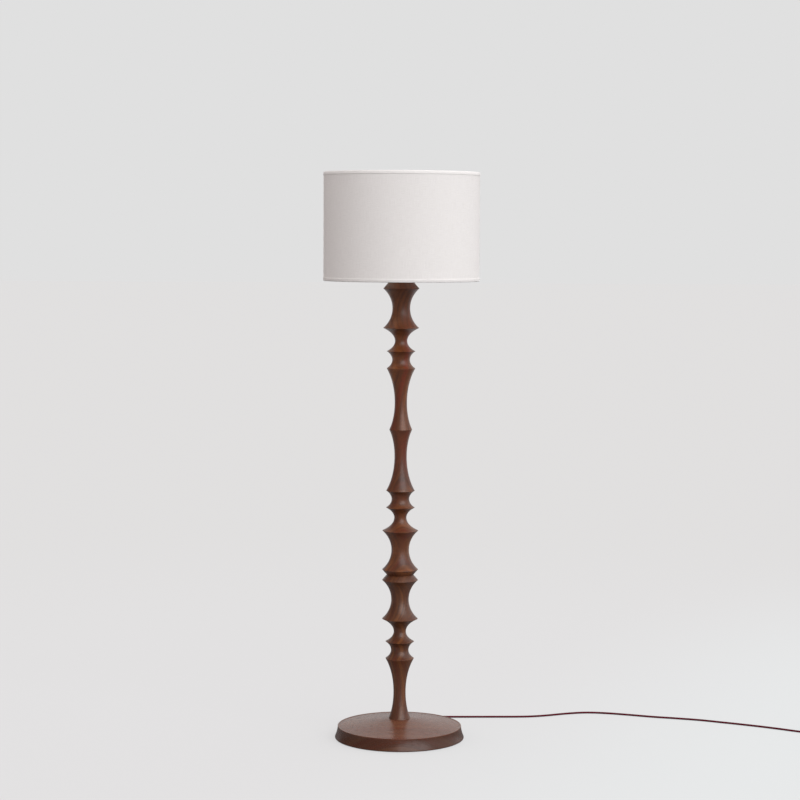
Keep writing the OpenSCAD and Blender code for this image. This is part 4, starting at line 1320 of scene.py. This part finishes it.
@dataclass
class WeightedBase:
    """The turned disc with its felt, ballast, fixings and strain relief."""

    radius: float = 188.0
    rim_radius: float = 180.0
    rim_height: float = 37.5
    side_bow: float = 1.3
    top: float = field(default_factory=lambda: heights("base_disc")[1])
    foot: float = 31.5
    felt: float = 1.5
    heel: float = 2.5
    felt_radius: float = 178.0
    recess: float = 112.0
    recess_roof: float = 24.0
    pocket: float = 34.0
    pocket_roof: float = 40.0
    bore: float = 5.6
    spigot: float = 11.15
    socket_depth: float = 6.3
    rim_band: float = 3.0
    rim_lip: float = 3.5
    cord_height: float = 8.0
    groove: float = 5.2
    cord_radius: float = 2.98
    cord_bend: float = 24.0
    screw_circle: float = 72.0
    screw_head: float = 9.4
    screw_seat: float = 12.0
    screw_tip: float = 36.0
    sleeve_bore: float = 3.1
    sleeve_radius: float = 4.9
    sleeve_ribs: int = 9

    def outline(self) -> Outline:
        """The disc's outline, from its underside out, up, in over the cone, and back.

        Returns:
            Radius and height of each point.
        """
        heel, side = self.heel, self.rim_height - self.rim_band
        corner = arc(self.radius - heel, self.felt + heel, heel, -78, 15, 10)
        flare, rise = corner[-1][0] - self.rim_radius, side - corner[-1][1]
        sweep = [
            (self.rim_radius + flare * (1 - t) - 4 * self.side_bow * t * (1 - t),
             side - rise * (1 - t))
            for t in (k / 12 for k in range(1, 13))]
        socket = self.top - self.socket_depth
        lip = rounded(
            [(self.rim_radius, side), (self.rim_radius, self.rim_height),
             (self.rim_radius - self.rim_lip, self.rim_height),
             (self.rim_radius - 4.6, self.rim_height - 0.9), (self.foot + 6, self.top - 0.6),
             (self.foot + 1.2, self.top)], 0.9, 4, loop=False)
        return [
            (self.recess, self.felt), (self.radius - heel, self.felt),
            *corner, *sweep,
            *lip[1:], (self.spigot, self.top), (self.spigot, socket), (self.bore, socket),
            (self.bore, self.pocket_roof), (self.pocket, self.pocket_roof),
            (self.pocket, self.recess_roof), (self.recess, self.recess_roof),
        ]

    def disc(self) -> None:
        """Turns the disc, cuts the cord's groove, rubs its rim and heel and paints shade on its
        side.
        """
        walnut = OiledWalnut(
            grain=Grain.ACROSS, blank=(0.02, 0.013, 0.05), heart=(0.19, 0.02, 0.0),
            late_wood="#4e2d20", early_wood="#6b4230", red_streak="#693625",
            gold_streak="#784f36", dark_streak="#52321f", pore_depth=0.3, roughness=0.26,
            shine=0.5)
        material = walnut.material("mat_walnut_disc")
        mesh = lathe("walnut_disc", self.outline(), 256, loop=True)
        piece = as_piece("walnut_disc", mesh, material, sharp=28)
        cutter = self.groove_cutter()
        cut = piece.modifiers.new("groove", "BOOLEAN")
        cut.operation = "DIFFERENCE"
        cut.solver = "EXACT"
        cut.object = cutter
        graph = bpy.context.evaluated_depsgraph_get()
        carved = bpy.data.meshes.new_from_object(piece.evaluated_get(graph))
        bpy.data.objects.remove(piece)
        bpy.data.objects.remove(cutter)
        mark(carved, "rub", self.rub)
        # Painted shade on the side, deepest over the end grain.
        mark(carved, "stain", self.stain)
        piece = as_piece("walnut_disc", carved, material, sharp=28)
        settle(piece, "stand", "walnut", "base_disc")

    def rub(self, at: Vector) -> float:
        """How rubbed a point in metres is: most at the rim, a little at the heel.

        Args:
            at: A point of the disc in metres.

        Returns:
            A share from 0 to 1.
        """
        r = at.xy.length / MM
        rim = near(r, self.rim_radius - 1.5, 3.2) * near(at.z / MM, self.rim_height, 2.5)
        return max(rim, near(r, self.radius, 3.0) * 0.2)

    def stain(self, at: Vector) -> float:
        """How much painted shade darkens the side. The grain runs along X, so the end grain at
        its ends, darker with oil, gets most.

        Args:
            at: A point of the disc in metres.

        Returns:
            A share from 0 to 1.
        """
        r = at.xy.length
        if at.z > (self.rim_height - 1.2) * MM or r < 0.9 * self.radius * MM:
            return 0.0
        # A share of 0.45 all round is painted shade; the rest follows the end grain.
        return 0.45 + 0.55 * math.sqrt(abs(at.x) / r)

    def groove_cutter(self) -> bpy.types.Object:
        """Makes the round-topped bar that cuts the cord's groove at the back.

        Returns:
            The bar.
        """
        start, end, floor = (self.recess - 4) * MM, (self.radius + 6) * MM, -8.0
        half = [(self.groove, floor)] + arc(0, self.cord_height, self.groove, 0, 180, 24)
        half.append((-self.groove, floor))
        bm = bmesh.new()
        ends = [[bm.verts.new((x * MM, y, z * MM)) for x, z in half] for y in (start, end)]
        for k in range(len(half)):
            j = (k + 1) % len(half)
            bm.faces.new((ends[0][k], ends[0][j], ends[1][j], ends[1][k]))
        for ring in ends:
            bm.faces.new(ring)
        return as_piece("groove_bar", from_bmesh(bm, "groove_bar"), Finish.RUBBER.material())

    def build(self) -> None:
        """Builds the base's pieces from the felt up."""
        self.disc()
        felt = lathe("felt_disc", rounded(
            [(0.0, 0.0), (self.felt_radius, 0.0), (self.felt_radius, self.felt),
             (0.0, self.felt)], 0.5, 3, loop=False), 256)
        Finish.FELT.piece(felt, "stand", "felt_pad")
        self.screws()
        self.relief()
        self.held_cord()
        Finish.IRON.dress("ballast_plate")
        Finish.ZINC.dress("base_washer", "cord_clamp", "clamp_screws")
        Finish.BRASS.dress("base_nut")

    def screws(self) -> None:
        """Sets the four ballast screws on their circle."""
        item = as_piece("screw_item", self.screw(), Finish.ZINC.material())
        mesh = run_tree("ballast_screw_set", ring_tree(), {
            "Item": item, "Count": 4, "Radius": self.screw_circle * MM,
            "Start angle": math.radians(45), "Material": Finish.ZINC.material()})
        bpy.data.objects.remove(item)
        Finish.ZINC.piece(mesh, "stand", "ballast_screws")

    def screw(self) -> bpy.types.Mesh:
        """One pan-headed screw with a driver's recess, head down.

        Returns:
            The screw's mesh.
        """
        head, seat, tip = self.screw_head, self.screw_seat, self.screw_tip
        return lathe("screw_item", [
            (0.0, head + 1.3), (1.2, head + 1.1), (1.4, head), (3.4, head),
            (4.0, head + 0.5), (4.2, head + 1.3), (4.2, seat), (2.1, seat),
            (2.1, tip - 3.0), (1.0, tip), (0.0, tip)], 24)

    def relief(self) -> None:
        """Turns the ribbed strain relief on the cord's line and lays it down."""
        near_end, far_end = (corner.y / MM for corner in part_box("strain_relief"))
        bore, wide, face = self.sleeve_bore, self.sleeve_radius, self.radius
        outline: Outline = [
            (bore, near_end), (wide, near_end), (wide, face + 0.2), (wide + 1.4, face + 0.2),
            (wide + 1.4, face + 1.8), (wide + 0.7, face + 2.3)]
        start, end, steps = face + 2.3, far_end - 0.6, self.sleeve_ribs * 4
        for k in range(steps + 1):
            rib = 0.28 if k % 4 in (1, 2) else -0.22
            outline.append((wide - k / steps + rib, start + (end - start) * k / steps))
        outline += [(3.75, far_end), (bore, far_end)]
        mesh = lathe("strain_relief_sleeve", outline, 40, loop=True)
        mesh.transform(Matrix.Translation((0, 0, self.cord_height * MM))
                       @ Matrix.Rotation(-math.pi / 2, 4, "X"))
        Finish.RUBBER.piece(mesh, "stand", "strain_relief", sharp=50)

    def held_cord(self) -> None:
        """Runs the braided cord through the base and up the rod."""
        turn, low, top = self.cord_bend, self.cord_height, heights("inner_cord")[1]
        line = [(0.0, y, low) for y in (216, 180, 140, 100, 60, 34)]
        line += [(0.0, y, z) for y, z in arc(turn, low + turn, turn, 270, 180, 9)]
        line += [(0.0, 0.0, z) for z in (60, 120, 300, 600, 900, 1200, top)]
        mesh = tube("held_cord", [Vector(p) * MM for p in line], self.cord_radius * MM, 16)
        Finish.BRAID.piece(mesh, "stand", "inner_cord", sharp=80)


# ---------------------------------------------------------------- Column


class Stands(Enum):
    """Which end of a turned section is up: 1 for its large end, -1 for its small end."""

    LARGE_END_UP = 1
    SMALL_END_UP = -1


def band_tree(name: str, hollow: bool) -> bpy.types.NodeTree:
    """Builds the tree of one turned band between two heights.

    Args:
        name: The tree's name.
        hollow: Whether the band dips to a low radius, or runs straight.

    Returns:
        The tree.
    """
    inputs = [
        ("Start height", "NodeSocketFloat", 0.0), ("End height", "NodeSocketFloat", 0.1),
        ("Start radius", "NodeSocketFloat", 0.05), ("End radius", "NodeSocketFloat", 0.05),
        ("Segments", "NodeSocketInt", 160),
    ]
    if hollow:
        inputs += [
            ("Low radius", "NodeSocketFloat", 0.02), ("Low share", "NodeSocketFloat", 0.5),
            ("Fullness", "NodeSocketFloat", 0.75), ("Rings", "NodeSocketInt", 24),
        ]
    tree, given, result = new_tree(name, inputs)
    size = given.outputs
    segments = add(tree, MATH, {0: size["Segments"], 1: 1}, operation="ADD")
    rings = add(tree, MATH, {0: size["Rings"], 1: 1}, operation="ADD") if hollow else 2
    grid = add(tree, "GeometryNodeMeshGrid", {
        "Size X": 1.0, "Size Y": 1.0, "Vertices X": segments, "Vertices Y": rings})
    parts = add(tree, SPLIT, {0: add(tree, "GeometryNodeInputPosition")}).outputs
    angle = add(tree, MATH, {0: parts[0], 1: math.tau}, operation="MULTIPLY")
    share = add(tree, MATH, {0: parts[1], 1: 0.5}, operation="ADD")
    height, radius = (
        add(tree, RANGE, {"Value": share, "To Min": size[f"Start {what}"],
                          "To Max": size[f"End {what}"]})
        for what in ("height", "radius"))
    if hollow:
        radius = hollow_radius(tree, size, share)
    bent = add(tree, "GeometryNodeSetPosition", {
        "Geometry": grid, "Position": on_circle(tree, angle, radius, height)})
    tree.links.new(bent.outputs[0], result.inputs[0])
    return tree


def hollow_radius(tree: bpy.types.NodeTree, size: Any, share: bpy.types.Node
                  ) -> bpy.types.Node:
    """Gives a hollow's radius at a share of its height.

    The dip is part of an ellipse, 1 - sqrt(1 - (fullness * away)^2), set to 1 at each end.

    Args:
        tree: The tree of the band.
        size: The tree's inputs by name.
        share: The share of the height, from 0 to 1.

    Returns:
        The node that gives the radius.
    """
    low = size["Low share"]
    rising = add(tree, MATH, {0: share, 1: low}, operation="GREATER_THAN")
    above = add(tree, MATH, {0: 1.0, 1: low}, operation="SUBTRACT")
    end_radius, span = (
        add(tree, MIX, {"Factor": rising, "A": start, "B": end}, data_type="FLOAT")
        for start, end in ((size["Start radius"], size["End radius"]), (low, above)))
    past = add(tree, MATH, {0: share, 1: low}, operation="SUBTRACT")
    away = add(tree, MATH, {0: add(tree, MATH, {0: past}, operation="ABSOLUTE"), 1: span},
               operation="DIVIDE")
    rises = []
    for reach in (add(tree, MATH, {0: away, 1: size["Fullness"]}, operation="MULTIPLY"),
                  size["Fullness"]):
        square = add(tree, MATH, {0: reach, 1: reach}, operation="MULTIPLY")
        left = add(tree, MATH, {0: 1.0, 1: square}, operation="SUBTRACT")
        root = add(tree, MATH, {0: left}, operation="SQRT")
        rises.append(add(tree, MATH, {0: 1.0, 1: root}, operation="SUBTRACT"))
    swell = add(tree, MATH, {0: rises[0], 1: rises[1]}, operation="DIVIDE")
    return add(tree, MIX, {"Factor": swell, "A": size["Low radius"], "B": end_radius},
               data_type="FLOAT", clamp_factor=False)


@dataclass
class TurnedColumn:
    """Three sections with the same run of hollows and ridges, drawn together by the rod."""

    ridge: float = 52.0
    collar: float = 41.4
    waist: float = 33.0
    foot: float = 31.5
    shallow: float = 25.5
    deep: float = 17.7
    long_cove: float = 177.4
    collar_cove: float = 49.3
    neck_cove: float = 67.0
    wide_cove: float = 113.5
    shoulder_length: float = 15.5
    shoulder: float = 38.5
    land: float = 2.7
    bore: float = 5.6
    fullness: float = 0.75
    lean: float = 0.56
    bottom: float = field(default_factory=lambda: heights("base_disc")[1])
    arris: float = 0.45
    # Edges past this angle in degrees and this radius are arrises.
    arris_angle: float = 25.0
    arris_clear: float = 20.0
    rub_reach: float = 2.2
    segments: int = 192
    rings: int = 28

    @property
    def length(self) -> float:
        """Length of a section's hollows, without its shoulder."""
        return self.long_cove + self.collar_cove + self.neck_cove + self.wide_cove

    def sizes(self) -> dict[str, float]:
        """The sizes in millimetres that every section shares, by their names in the tree.

        Returns:
            A size for each name.
        """
        return {
            "Long hollow": self.long_cove, "Collar hollow": self.collar_cove,
            "Neck hollow": self.neck_cove, "Wide hollow": self.wide_cove,
            "Shoulder length": self.shoulder_length, "Collar radius": self.collar,
            "Ridge radius": self.ridge, "Deep radius": self.deep,
            "Shallow radius": self.shallow, "Shoulder radius": self.shoulder,
            "Bore radius": self.bore}

    def section_tree(self) -> bpy.types.NodeTree:
        """Builds the tree of a whole section from its named sizes.

        Returns:
            The tree.
        """
        known = bpy.data.node_groups.get("Turned section")
        if known:
            return known
        tree, given, result = new_tree("Turned section", [
            *((name, "NodeSocketFloat", 0.05)
              for name in (*self.sizes(), "End radius", "Land length", "Start height")),
            ("Fullness", "NodeSocketFloat", 0.75), ("Lean", "NodeSocketFloat", 0.56),
            ("Segments", "NodeSocketInt", 192), ("Rings", "NodeSocketInt", 28),
            ("Way up", "NodeSocketFloat", 1.0), ("Material", "NodeSocketMaterial", None)])
        size = given.outputs
        hollow, straight = band_tree("Turned hollow", True), band_tree("Turned band", False)
        low_share = add(tree, MATH, {0: 1.0, 1: size["Lean"]}, operation="SUBTRACT")
        levels: list[Any] = [0.0]
        for name in ("Long hollow", "Collar hollow", "Neck hollow", "Wide hollow",
                     "Shoulder length", "Land length"):
            levels.append(add(tree, MATH, {0: levels[-1], 1: size[name]}, operation="ADD"))
        joined = add(tree, "GeometryNodeJoinGeometry")
        # Each band's lower and upper level and radius and, for a hollow, its low radius.
        for start, end, low_end, high_end, *dip in (
            (0, 1, "End", "Collar", "Deep", low_share),
            (1, 2, "Collar", "Collar", "Shallow", 0.5),
            (2, 3, "Collar", "Ridge", "Deep", low_share),
            (3, 4, "Ridge", "Ridge", "Shallow", 0.5),
            (4, 5, "Ridge", "Shoulder"), (5, 6, "Shoulder", "Shoulder"),
            (6, 6, "Shoulder", "Bore"), (0, 6, "Bore", "Bore"), (0, 0, "End", "Bore"),
        ):
            given_sizes = {
                "Start height": levels[start], "End height": levels[end],
                "Start radius": size[f"{low_end} radius"],
                "End radius": size[f"{high_end} radius"], "Segments": size["Segments"]}
            if dip:
                given_sizes |= {
                    "Low radius": size[f"{dip[0]} radius"], "Low share": dip[1],
                    "Fullness": size["Fullness"], "Rings": size["Rings"]}
            band = add(tree, "GeometryNodeGroup", given_sizes,
                       node_tree=hollow if dip else straight)
            tree.links.new(band.outputs[0], joined.inputs[0])
        placed = add(tree, "GeometryNodeTransform", {
            "Geometry": joined, "Translation": add(tree, JOIN, {2: size["Start height"]}),
            "Scale": add(tree, JOIN, {0: 1.0, 1: 1.0, 2: size["Way up"]})})
        end_tree(tree, given, result, placed)
        return tree

    def section(
        self, name: str, node: str, start: float, end_radius: float, land: float,
        way: Stands, walnut: OiledWalnut,
    ) -> None:
        """Turns one section, eases its arrises and dresses it.

        Args:
            name: The piece's name.
            node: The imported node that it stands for.
            start: Height of its small end.
            end_radius: Radius of its small end.
            land: Length of the plain land past its shoulder.
            way: Which end is up.
            walnut: Its own blank of wood.
        """
        sizes = self.sizes() | {
            "End radius": end_radius, "Land length": land, "Start height": start}
        material = walnut.material(f"mat_{name}")
        mesh = run_tree(name, self.section_tree(), {
            **{key: value * MM for key, value in sizes.items()},
            "Fullness": self.fullness, "Lean": self.lean, "Segments": self.segments,
            "Rings": self.rings, "Way up": float(way.value), "Material": material})
        self.ease(mesh)
        ridges = [start + way.value * z for z in (
            self.long_cove, self.long_cove + self.collar_cove,
            self.length - self.wide_cove, self.length)]
        mark(mesh, "rub", lambda at: max(near(at.z / MM, z, self.rub_reach) for z in ridges)
             if at.xy.length > self.waist * MM * 0.9 else 0.0)
        settle(as_piece(name, mesh, material, sharp=40), "stand", "walnut", node)

    def ease(self, mesh: bpy.types.Mesh) -> None:
        """Breaks the sharp arrises of a section, as sandpaper does.

        Args:
            mesh: The section's mesh.
        """
        bm = bmesh.new()
        bm.from_mesh(mesh)
        sharp = [
            e for e in bm.edges
            if e.is_manifold and e.calc_face_angle() > math.radians(self.arris_angle)
            and min(v.co.xy.length for v in e.verts) > self.arris_clear * MM
        ]
        bmesh.ops.bevel(bm, geom=sharp, offset=self.arris * MM, segments=3, profile=0.6,
                        affect="EDGES", clamp_overlap=True)
        bmesh.ops.recalc_face_normals(bm, faces=bm.faces)
        bm.to_mesh(mesh)
        bm.free()

    def build(self) -> None:
        """Turns the three sections, each from its own blank."""
        waist = self.bottom + 2 * (self.length + self.shoulder_length)
        self.section(
            "turned_lower", "column_lower", self.bottom, self.foot, 0.0, Stands.LARGE_END_UP,
            OiledWalnut(blank=(0.0, 0.0, 0.31), heart=(-0.11, 0.045, 0.0),
                        late_wood="#361a0e", early_wood="#5d331c", red_streak="#5e2b17",
                        gold_streak="#825028"))
        self.section(
            "turned_middle", "column_middle", waist, self.waist, 0.0, Stands.SMALL_END_UP,
            OiledWalnut(blank=(0.0, 0.0, 1.7), heart=(0.02, -0.095, 0.0),
                        late_wood="#3c1d0e", early_wood="#69381d", red_streak="#6a2a16"))
        self.section(
            "turned_upper", "column_upper", waist, self.waist, self.land,
            Stands.LARGE_END_UP, OiledWalnut(blank=(0.0, 0.0, 3.9), heart=(0.12, 0.03, 0.0)))
        Finish.BRASS.dress("threaded_rod", "check_ring")


# ---------------------------------------------------------------- Harp and lampholder


@dataclass
class HarpSet:
    """The saddle, the wire harp with its locking sleeves, and the seat with its stud."""

    half_low: float = 32.0
    half_high: float = 57.0
    leg: float = 24.3
    bend: float = 40.0
    corner: float = 45.0
    wire: float = 2.0
    sleeve_length: float = 22.0
    sleeve_radius: float = 3.3
    seat: float = 8.8
    seat_top: float = 11.3
    crest: float = 3.1
    root: float = 2.7
    pitch: float = 0.9
    foot: float = field(default_factory=lambda: heights("harp")[0])
    sleeve_bottom: float = field(default_factory=lambda: heights("harp_sleeve_left")[0])

    @property
    def top(self) -> float:
        """Height of the wire's middle line below the seat."""
        return heights("harp")[1] - self.wire

    def line(self) -> list[Vector]:
        """The harp's middle line, from its left foot over the top to its right foot.

        Returns:
            The line's points in metres.
        """
        spread = math.degrees(math.acos(1 - (self.half_high - self.half_low) / (2 * self.bend)))
        rise = 2 * self.bend * math.sin(math.radians(spread))
        z = self.foot + self.leg
        side = [(self.half_low, self.foot)]
        side += arc(self.half_low + self.bend, z, self.bend, 180, 180 - spread, 12)
        side += arc(self.half_high - self.bend, z + rise, self.bend, -spread, 0, 12)[1:]
        side += arc(self.half_high - self.corner, self.top - self.corner, self.corner, 0, 90, 24)
        both = side + [(-x, z) for x, z in reversed(side)]
        return [Vector((x * MM, 0, z * MM)) for x, z in both]

    def sleeve(self, side: int, body: str, node: str) -> None:
        """Turns a locking sleeve with a rolled bead at each end.

        Args:
            side: -1 for the left one and 1 for the right one.
            body: The body that it rides on.
            node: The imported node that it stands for.
        """
        wall = self.sleeve_radius
        half = [(2.1, 0.3), (2.4, 0.0), (wall + 0.1, 0.0), (wall + 0.4, 0.5),
                (wall + 0.4, 1.6), (wall, 2.1), (wall, 5.6), (wall - 0.15, 5.9),
                (wall - 0.15, 6.4), (wall, 6.7)]
        low, high = self.sleeve_bottom, self.sleeve_bottom + self.sleeve_length
        outline = [(r, low + z) for r, z in half] + [(r, high - z) for r, z in half[::-1]]
        mesh = lathe(f"locking_{body}", outline, 48, loop=True)
        mesh.transform(Matrix.Translation((side * self.half_low * MM, 0, 0)))
        Finish.BRASS.piece(mesh, body, node)

    def post(self) -> None:
        """Turns the seat and its stud over the post that grips the wire."""
        bottom, end = heights("harp_post")
        seat, top = bottom + self.seat, bottom + self.seat_top
        outline: Outline = [(0.0, bottom), (5.2, bottom), (6.0, bottom + 0.8),
                            (6.0, seat - 0.6), (6.6, seat), (8.9, seat), (9.5, seat + 0.6),
                            (9.5, top - 0.6), (8.9, top), (3.3, top)]
        z = top + 0.5
        while z < end - 2 * self.pitch:
            outline += [(self.root, z), (self.crest, z + self.pitch / 2)]
            z += self.pitch
        outline += [(self.root, z), (1.9, z + 0.3), (0.0, z + 0.3)]
        mesh = lathe("seat_and_stud", outline, 64)
        Finish.BRASS.piece(mesh, "stand", "harp_post", sharp=50)

    def build(self) -> None:
        """Bends the harp's wire, turns what sits on it and dresses its saddle."""
        wire = tube("harp_wire", self.line(), self.wire * MM, 24)
        Finish.BRASS.piece(wire, "stand", "harp", sharp=60)
        self.sleeve(-1, "sleeve_left", "harp_sleeve_left")
        self.sleeve(1, "sleeve_right", "harp_sleeve_right")
        self.post()
        Finish.BRASS.dress("harp_saddle")
        Finish.ZINC.dress("lock_nut")


@dataclass
class Lampholder:
    """The keyed lampholder and its bulb."""

    bulb_radius: float = 30.0
    neck: float = 12.4
    neck_height: float = 15.0
    # The neck starts to swell this far below its top, towards a corner this far above it.
    swell_below: float = 5.0
    swell_above: float = 1.5
    lean: float = 35.0
    wall: float = 0.9
    neck_bottom: float = field(default_factory=lambda: heights("bulb_glass")[0])

    @property
    def bulb_centre(self) -> float:
        """Height of the middle of the bulb's ball."""
        return heights("bulb_glass")[1] - self.bulb_radius

    def bulb(self) -> None:
        """Blows the opal bulb with a soft neck."""
        waist, centre = self.neck_bottom + self.neck_height, self.bulb_centre
        ball = arc(0, centre, self.bulb_radius, -self.lean, 90, 40)[:-1]
        shoulder = bend(
            Vector((self.neck, waist - self.swell_below)),
            Vector((self.neck, waist + self.swell_above)), Vector(ball[0]), 12)[:-1]
        outer = [(self.neck, self.neck_bottom), *shoulder, *ball]
        inner = [(max(r - self.wall, 0.0), z) for r, z in reversed(outer)]
        crown = centre + self.bulb_radius
        mesh = lathe("opal_bulb", [
            inner[-1], *outer, (0.0, crown), (0.0, crown - self.wall), *inner[1:]],
            96, loop=True)
        Finish.OPAL.piece(mesh, "bulb", "bulb_glass", sharp=60)
        Finish.NICKEL.dress("bulb_cap")

    def build(self) -> None:
        """Builds the bulb and dresses the lampholder."""
        self.bulb()
        Finish.BRASS.dress("socket_cap", "socket_shell", "screw_shell", "centre_contact",
                           "terminal_screws")
        Finish.CARD.dress("socket_liner")
        Finish.PHENOLIC.dress("socket_body", "switch_key")
        Finish.SLEEVE.dress("leads")


# ---------------------------------------------------------------- Shade and finial


@dataclass
class DrumShade:
    """Linen over a stiff liner, with taped edges, on two wire rings and a spider."""

    radius: float = 225.0
    bottom: float = field(default_factory=lambda: heights("trim_bottom")[0])
    top: float = field(default_factory=lambda: heights("trim_top")[1])
    tape_width: float = 10.0
    tape: float = 0.6
    tape_roll: float = 3.0
    cloth: float = 0.8
    fold_radius: float = 218.8
    fold_width: float = 6.8
    seam_width: float = 11.0
    seam_step: float = 0.22
    play: float = 0.12
    slack: float = 0.16
    points: int = 320

    def linen(self) -> bpy.types.Object:
        """Stretches the linen round the liner, with a glued lap at the back.

        Returns:
            The linen.
        """
        outer = self.radius - self.tape - self.play
        low, high = self.bottom + self.tape_roll, self.top - self.tape_roll
        steps, back = 64, math.pi / 2
        shares = [k / steps for k in range(steps + 1)]
        rings = []
        for share in shares:
            ring = []
            # Where the glue holds less, the cloth gives way in slow waves round the drum.
            for a in around(self.points):
                ripple = (0.5 + 0.3 * math.sin(9 * a + 3 * share)
                          + 0.2 * math.sin(23 * a - 5 * share))
                r = outer - self.slack * math.sin(math.pi * share) * ripple
                if abs(math.remainder(a - back, math.tau)) * outer > self.seam_width / 2:
                    r -= self.seam_step
                ring.append((r, a))
            rings.append(ring)
        rings += [[(outer - self.cloth, a) for a in around(self.points)]] * len(shares)
        lengths = [(low + (high - low) * share) * MM for share in shares + shares[::-1]]
        skin = [
            [Vector((r * math.cos(a) * MM, r * math.sin(a) * MM, z)) for r, a in ring]
            for ring, z in zip(rings, lengths)]
        mesh = rings_mesh("linen_drum", skin, lengths, math.tau * outer * MM, loop=True)
        return Finish.LINEN.piece(mesh, "shade", "shade_fabric", sharp=60)

    def tape_piece(self, name: str, edge: float, way: int, node: str) -> bpy.types.Object:
        """Folds a linen tape over an edge and round the ring's wire.

        Args:
            name: The piece's name.
            edge: Height of the shade's edge.
            way: 1 for the top edge and -1 for the bottom one.
            node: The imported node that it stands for.

        Returns:
            The piece.
        """
        out, inner, fold = self.radius, self.radius - self.tape, self.fold_radius
        flat = [
            (inner, -self.tape_width), (out - 0.35, -self.tape_width),
            (out, -self.tape_width * 0.8), (out - 0.45, -self.tape_roll), (out - 1.4, 0.0),
            (fold - self.tape, 0.0), (fold - self.tape, -self.fold_width),
            (fold, -self.fold_width), (fold, -self.tape), (inner - 1.2, -self.tape),
            (inner - 0.35, -self.tape_roll), (inner, -2 * self.tape_roll)]
        outline = [(r, edge + way * z) for r, z in rounded(flat, 0.9, 4)]
        mesh = lathe(name, outline, self.points, loop=True)
        return Finish.TAPE.piece(mesh, "shade", node, sharp=60)

    def build(self) -> None:
        cloth = self.linen()
        tapes = [
            self.tape_piece("tape_top", self.top, 1, "trim_top"),
            self.tape_piece("tape_bottom", self.bottom, -1, "trim_bottom"),
        ]
        Finish.ENAMEL.dress("spider_ring", "bottom_ring")
        Finish.FILM.dress("shade_liner")
        self.finial()

    def finial(self) -> None:
        """Turns the finial: a foot, a waist with a bead, and a ball."""
        z, end = heights("finial")
        ball, stud, stud_top = 7.5, 3.17, z + 19.9
        outline: Outline = [(stud, z), (8.4, z), (9.0, z + 0.6), (9.0, z + 2.0),
                            (8.4, z + 2.6), (6.4, z + 3.4), (5.4, z + 4.4), (4.6, z + 6.0),
                            (4.5, z + 9.4), (5.2, z + 10.0), (5.6, z + 10.8),
                            (5.2, z + 11.6), (4.7, z + 12.2)]
        outline += arc(0, end - ball, ball, -52, 90, 24)[1:-1]
        outline += [(0.0, end), (0.0, stud_top), (stud, stud_top)]
        mesh = lathe("turned_finial", outline, 64, loop=True)
        Finish.BRASS.piece(mesh, "finial", "finial", sharp=40)


# ---------------------------------------------------------------- The whole lamp


FRAME: dict[str, Any] = {}


def main() -> None:
    """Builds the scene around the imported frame, camera and cord first."""
    logging.basicConfig(level=logging.INFO, format="%(name)s: %(message)s")
    FRAME.update(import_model())
    studio = Studio()
    studio.place_camera()
    MainsCord().build()
    WeightedBase().build()
    TurnedColumn().build()
    HarpSet().build()
    Lampholder().build()
    DrumShade().build()
    studio.lay_paper()
    studio.light()


if __name__ == "__main__":
    main()
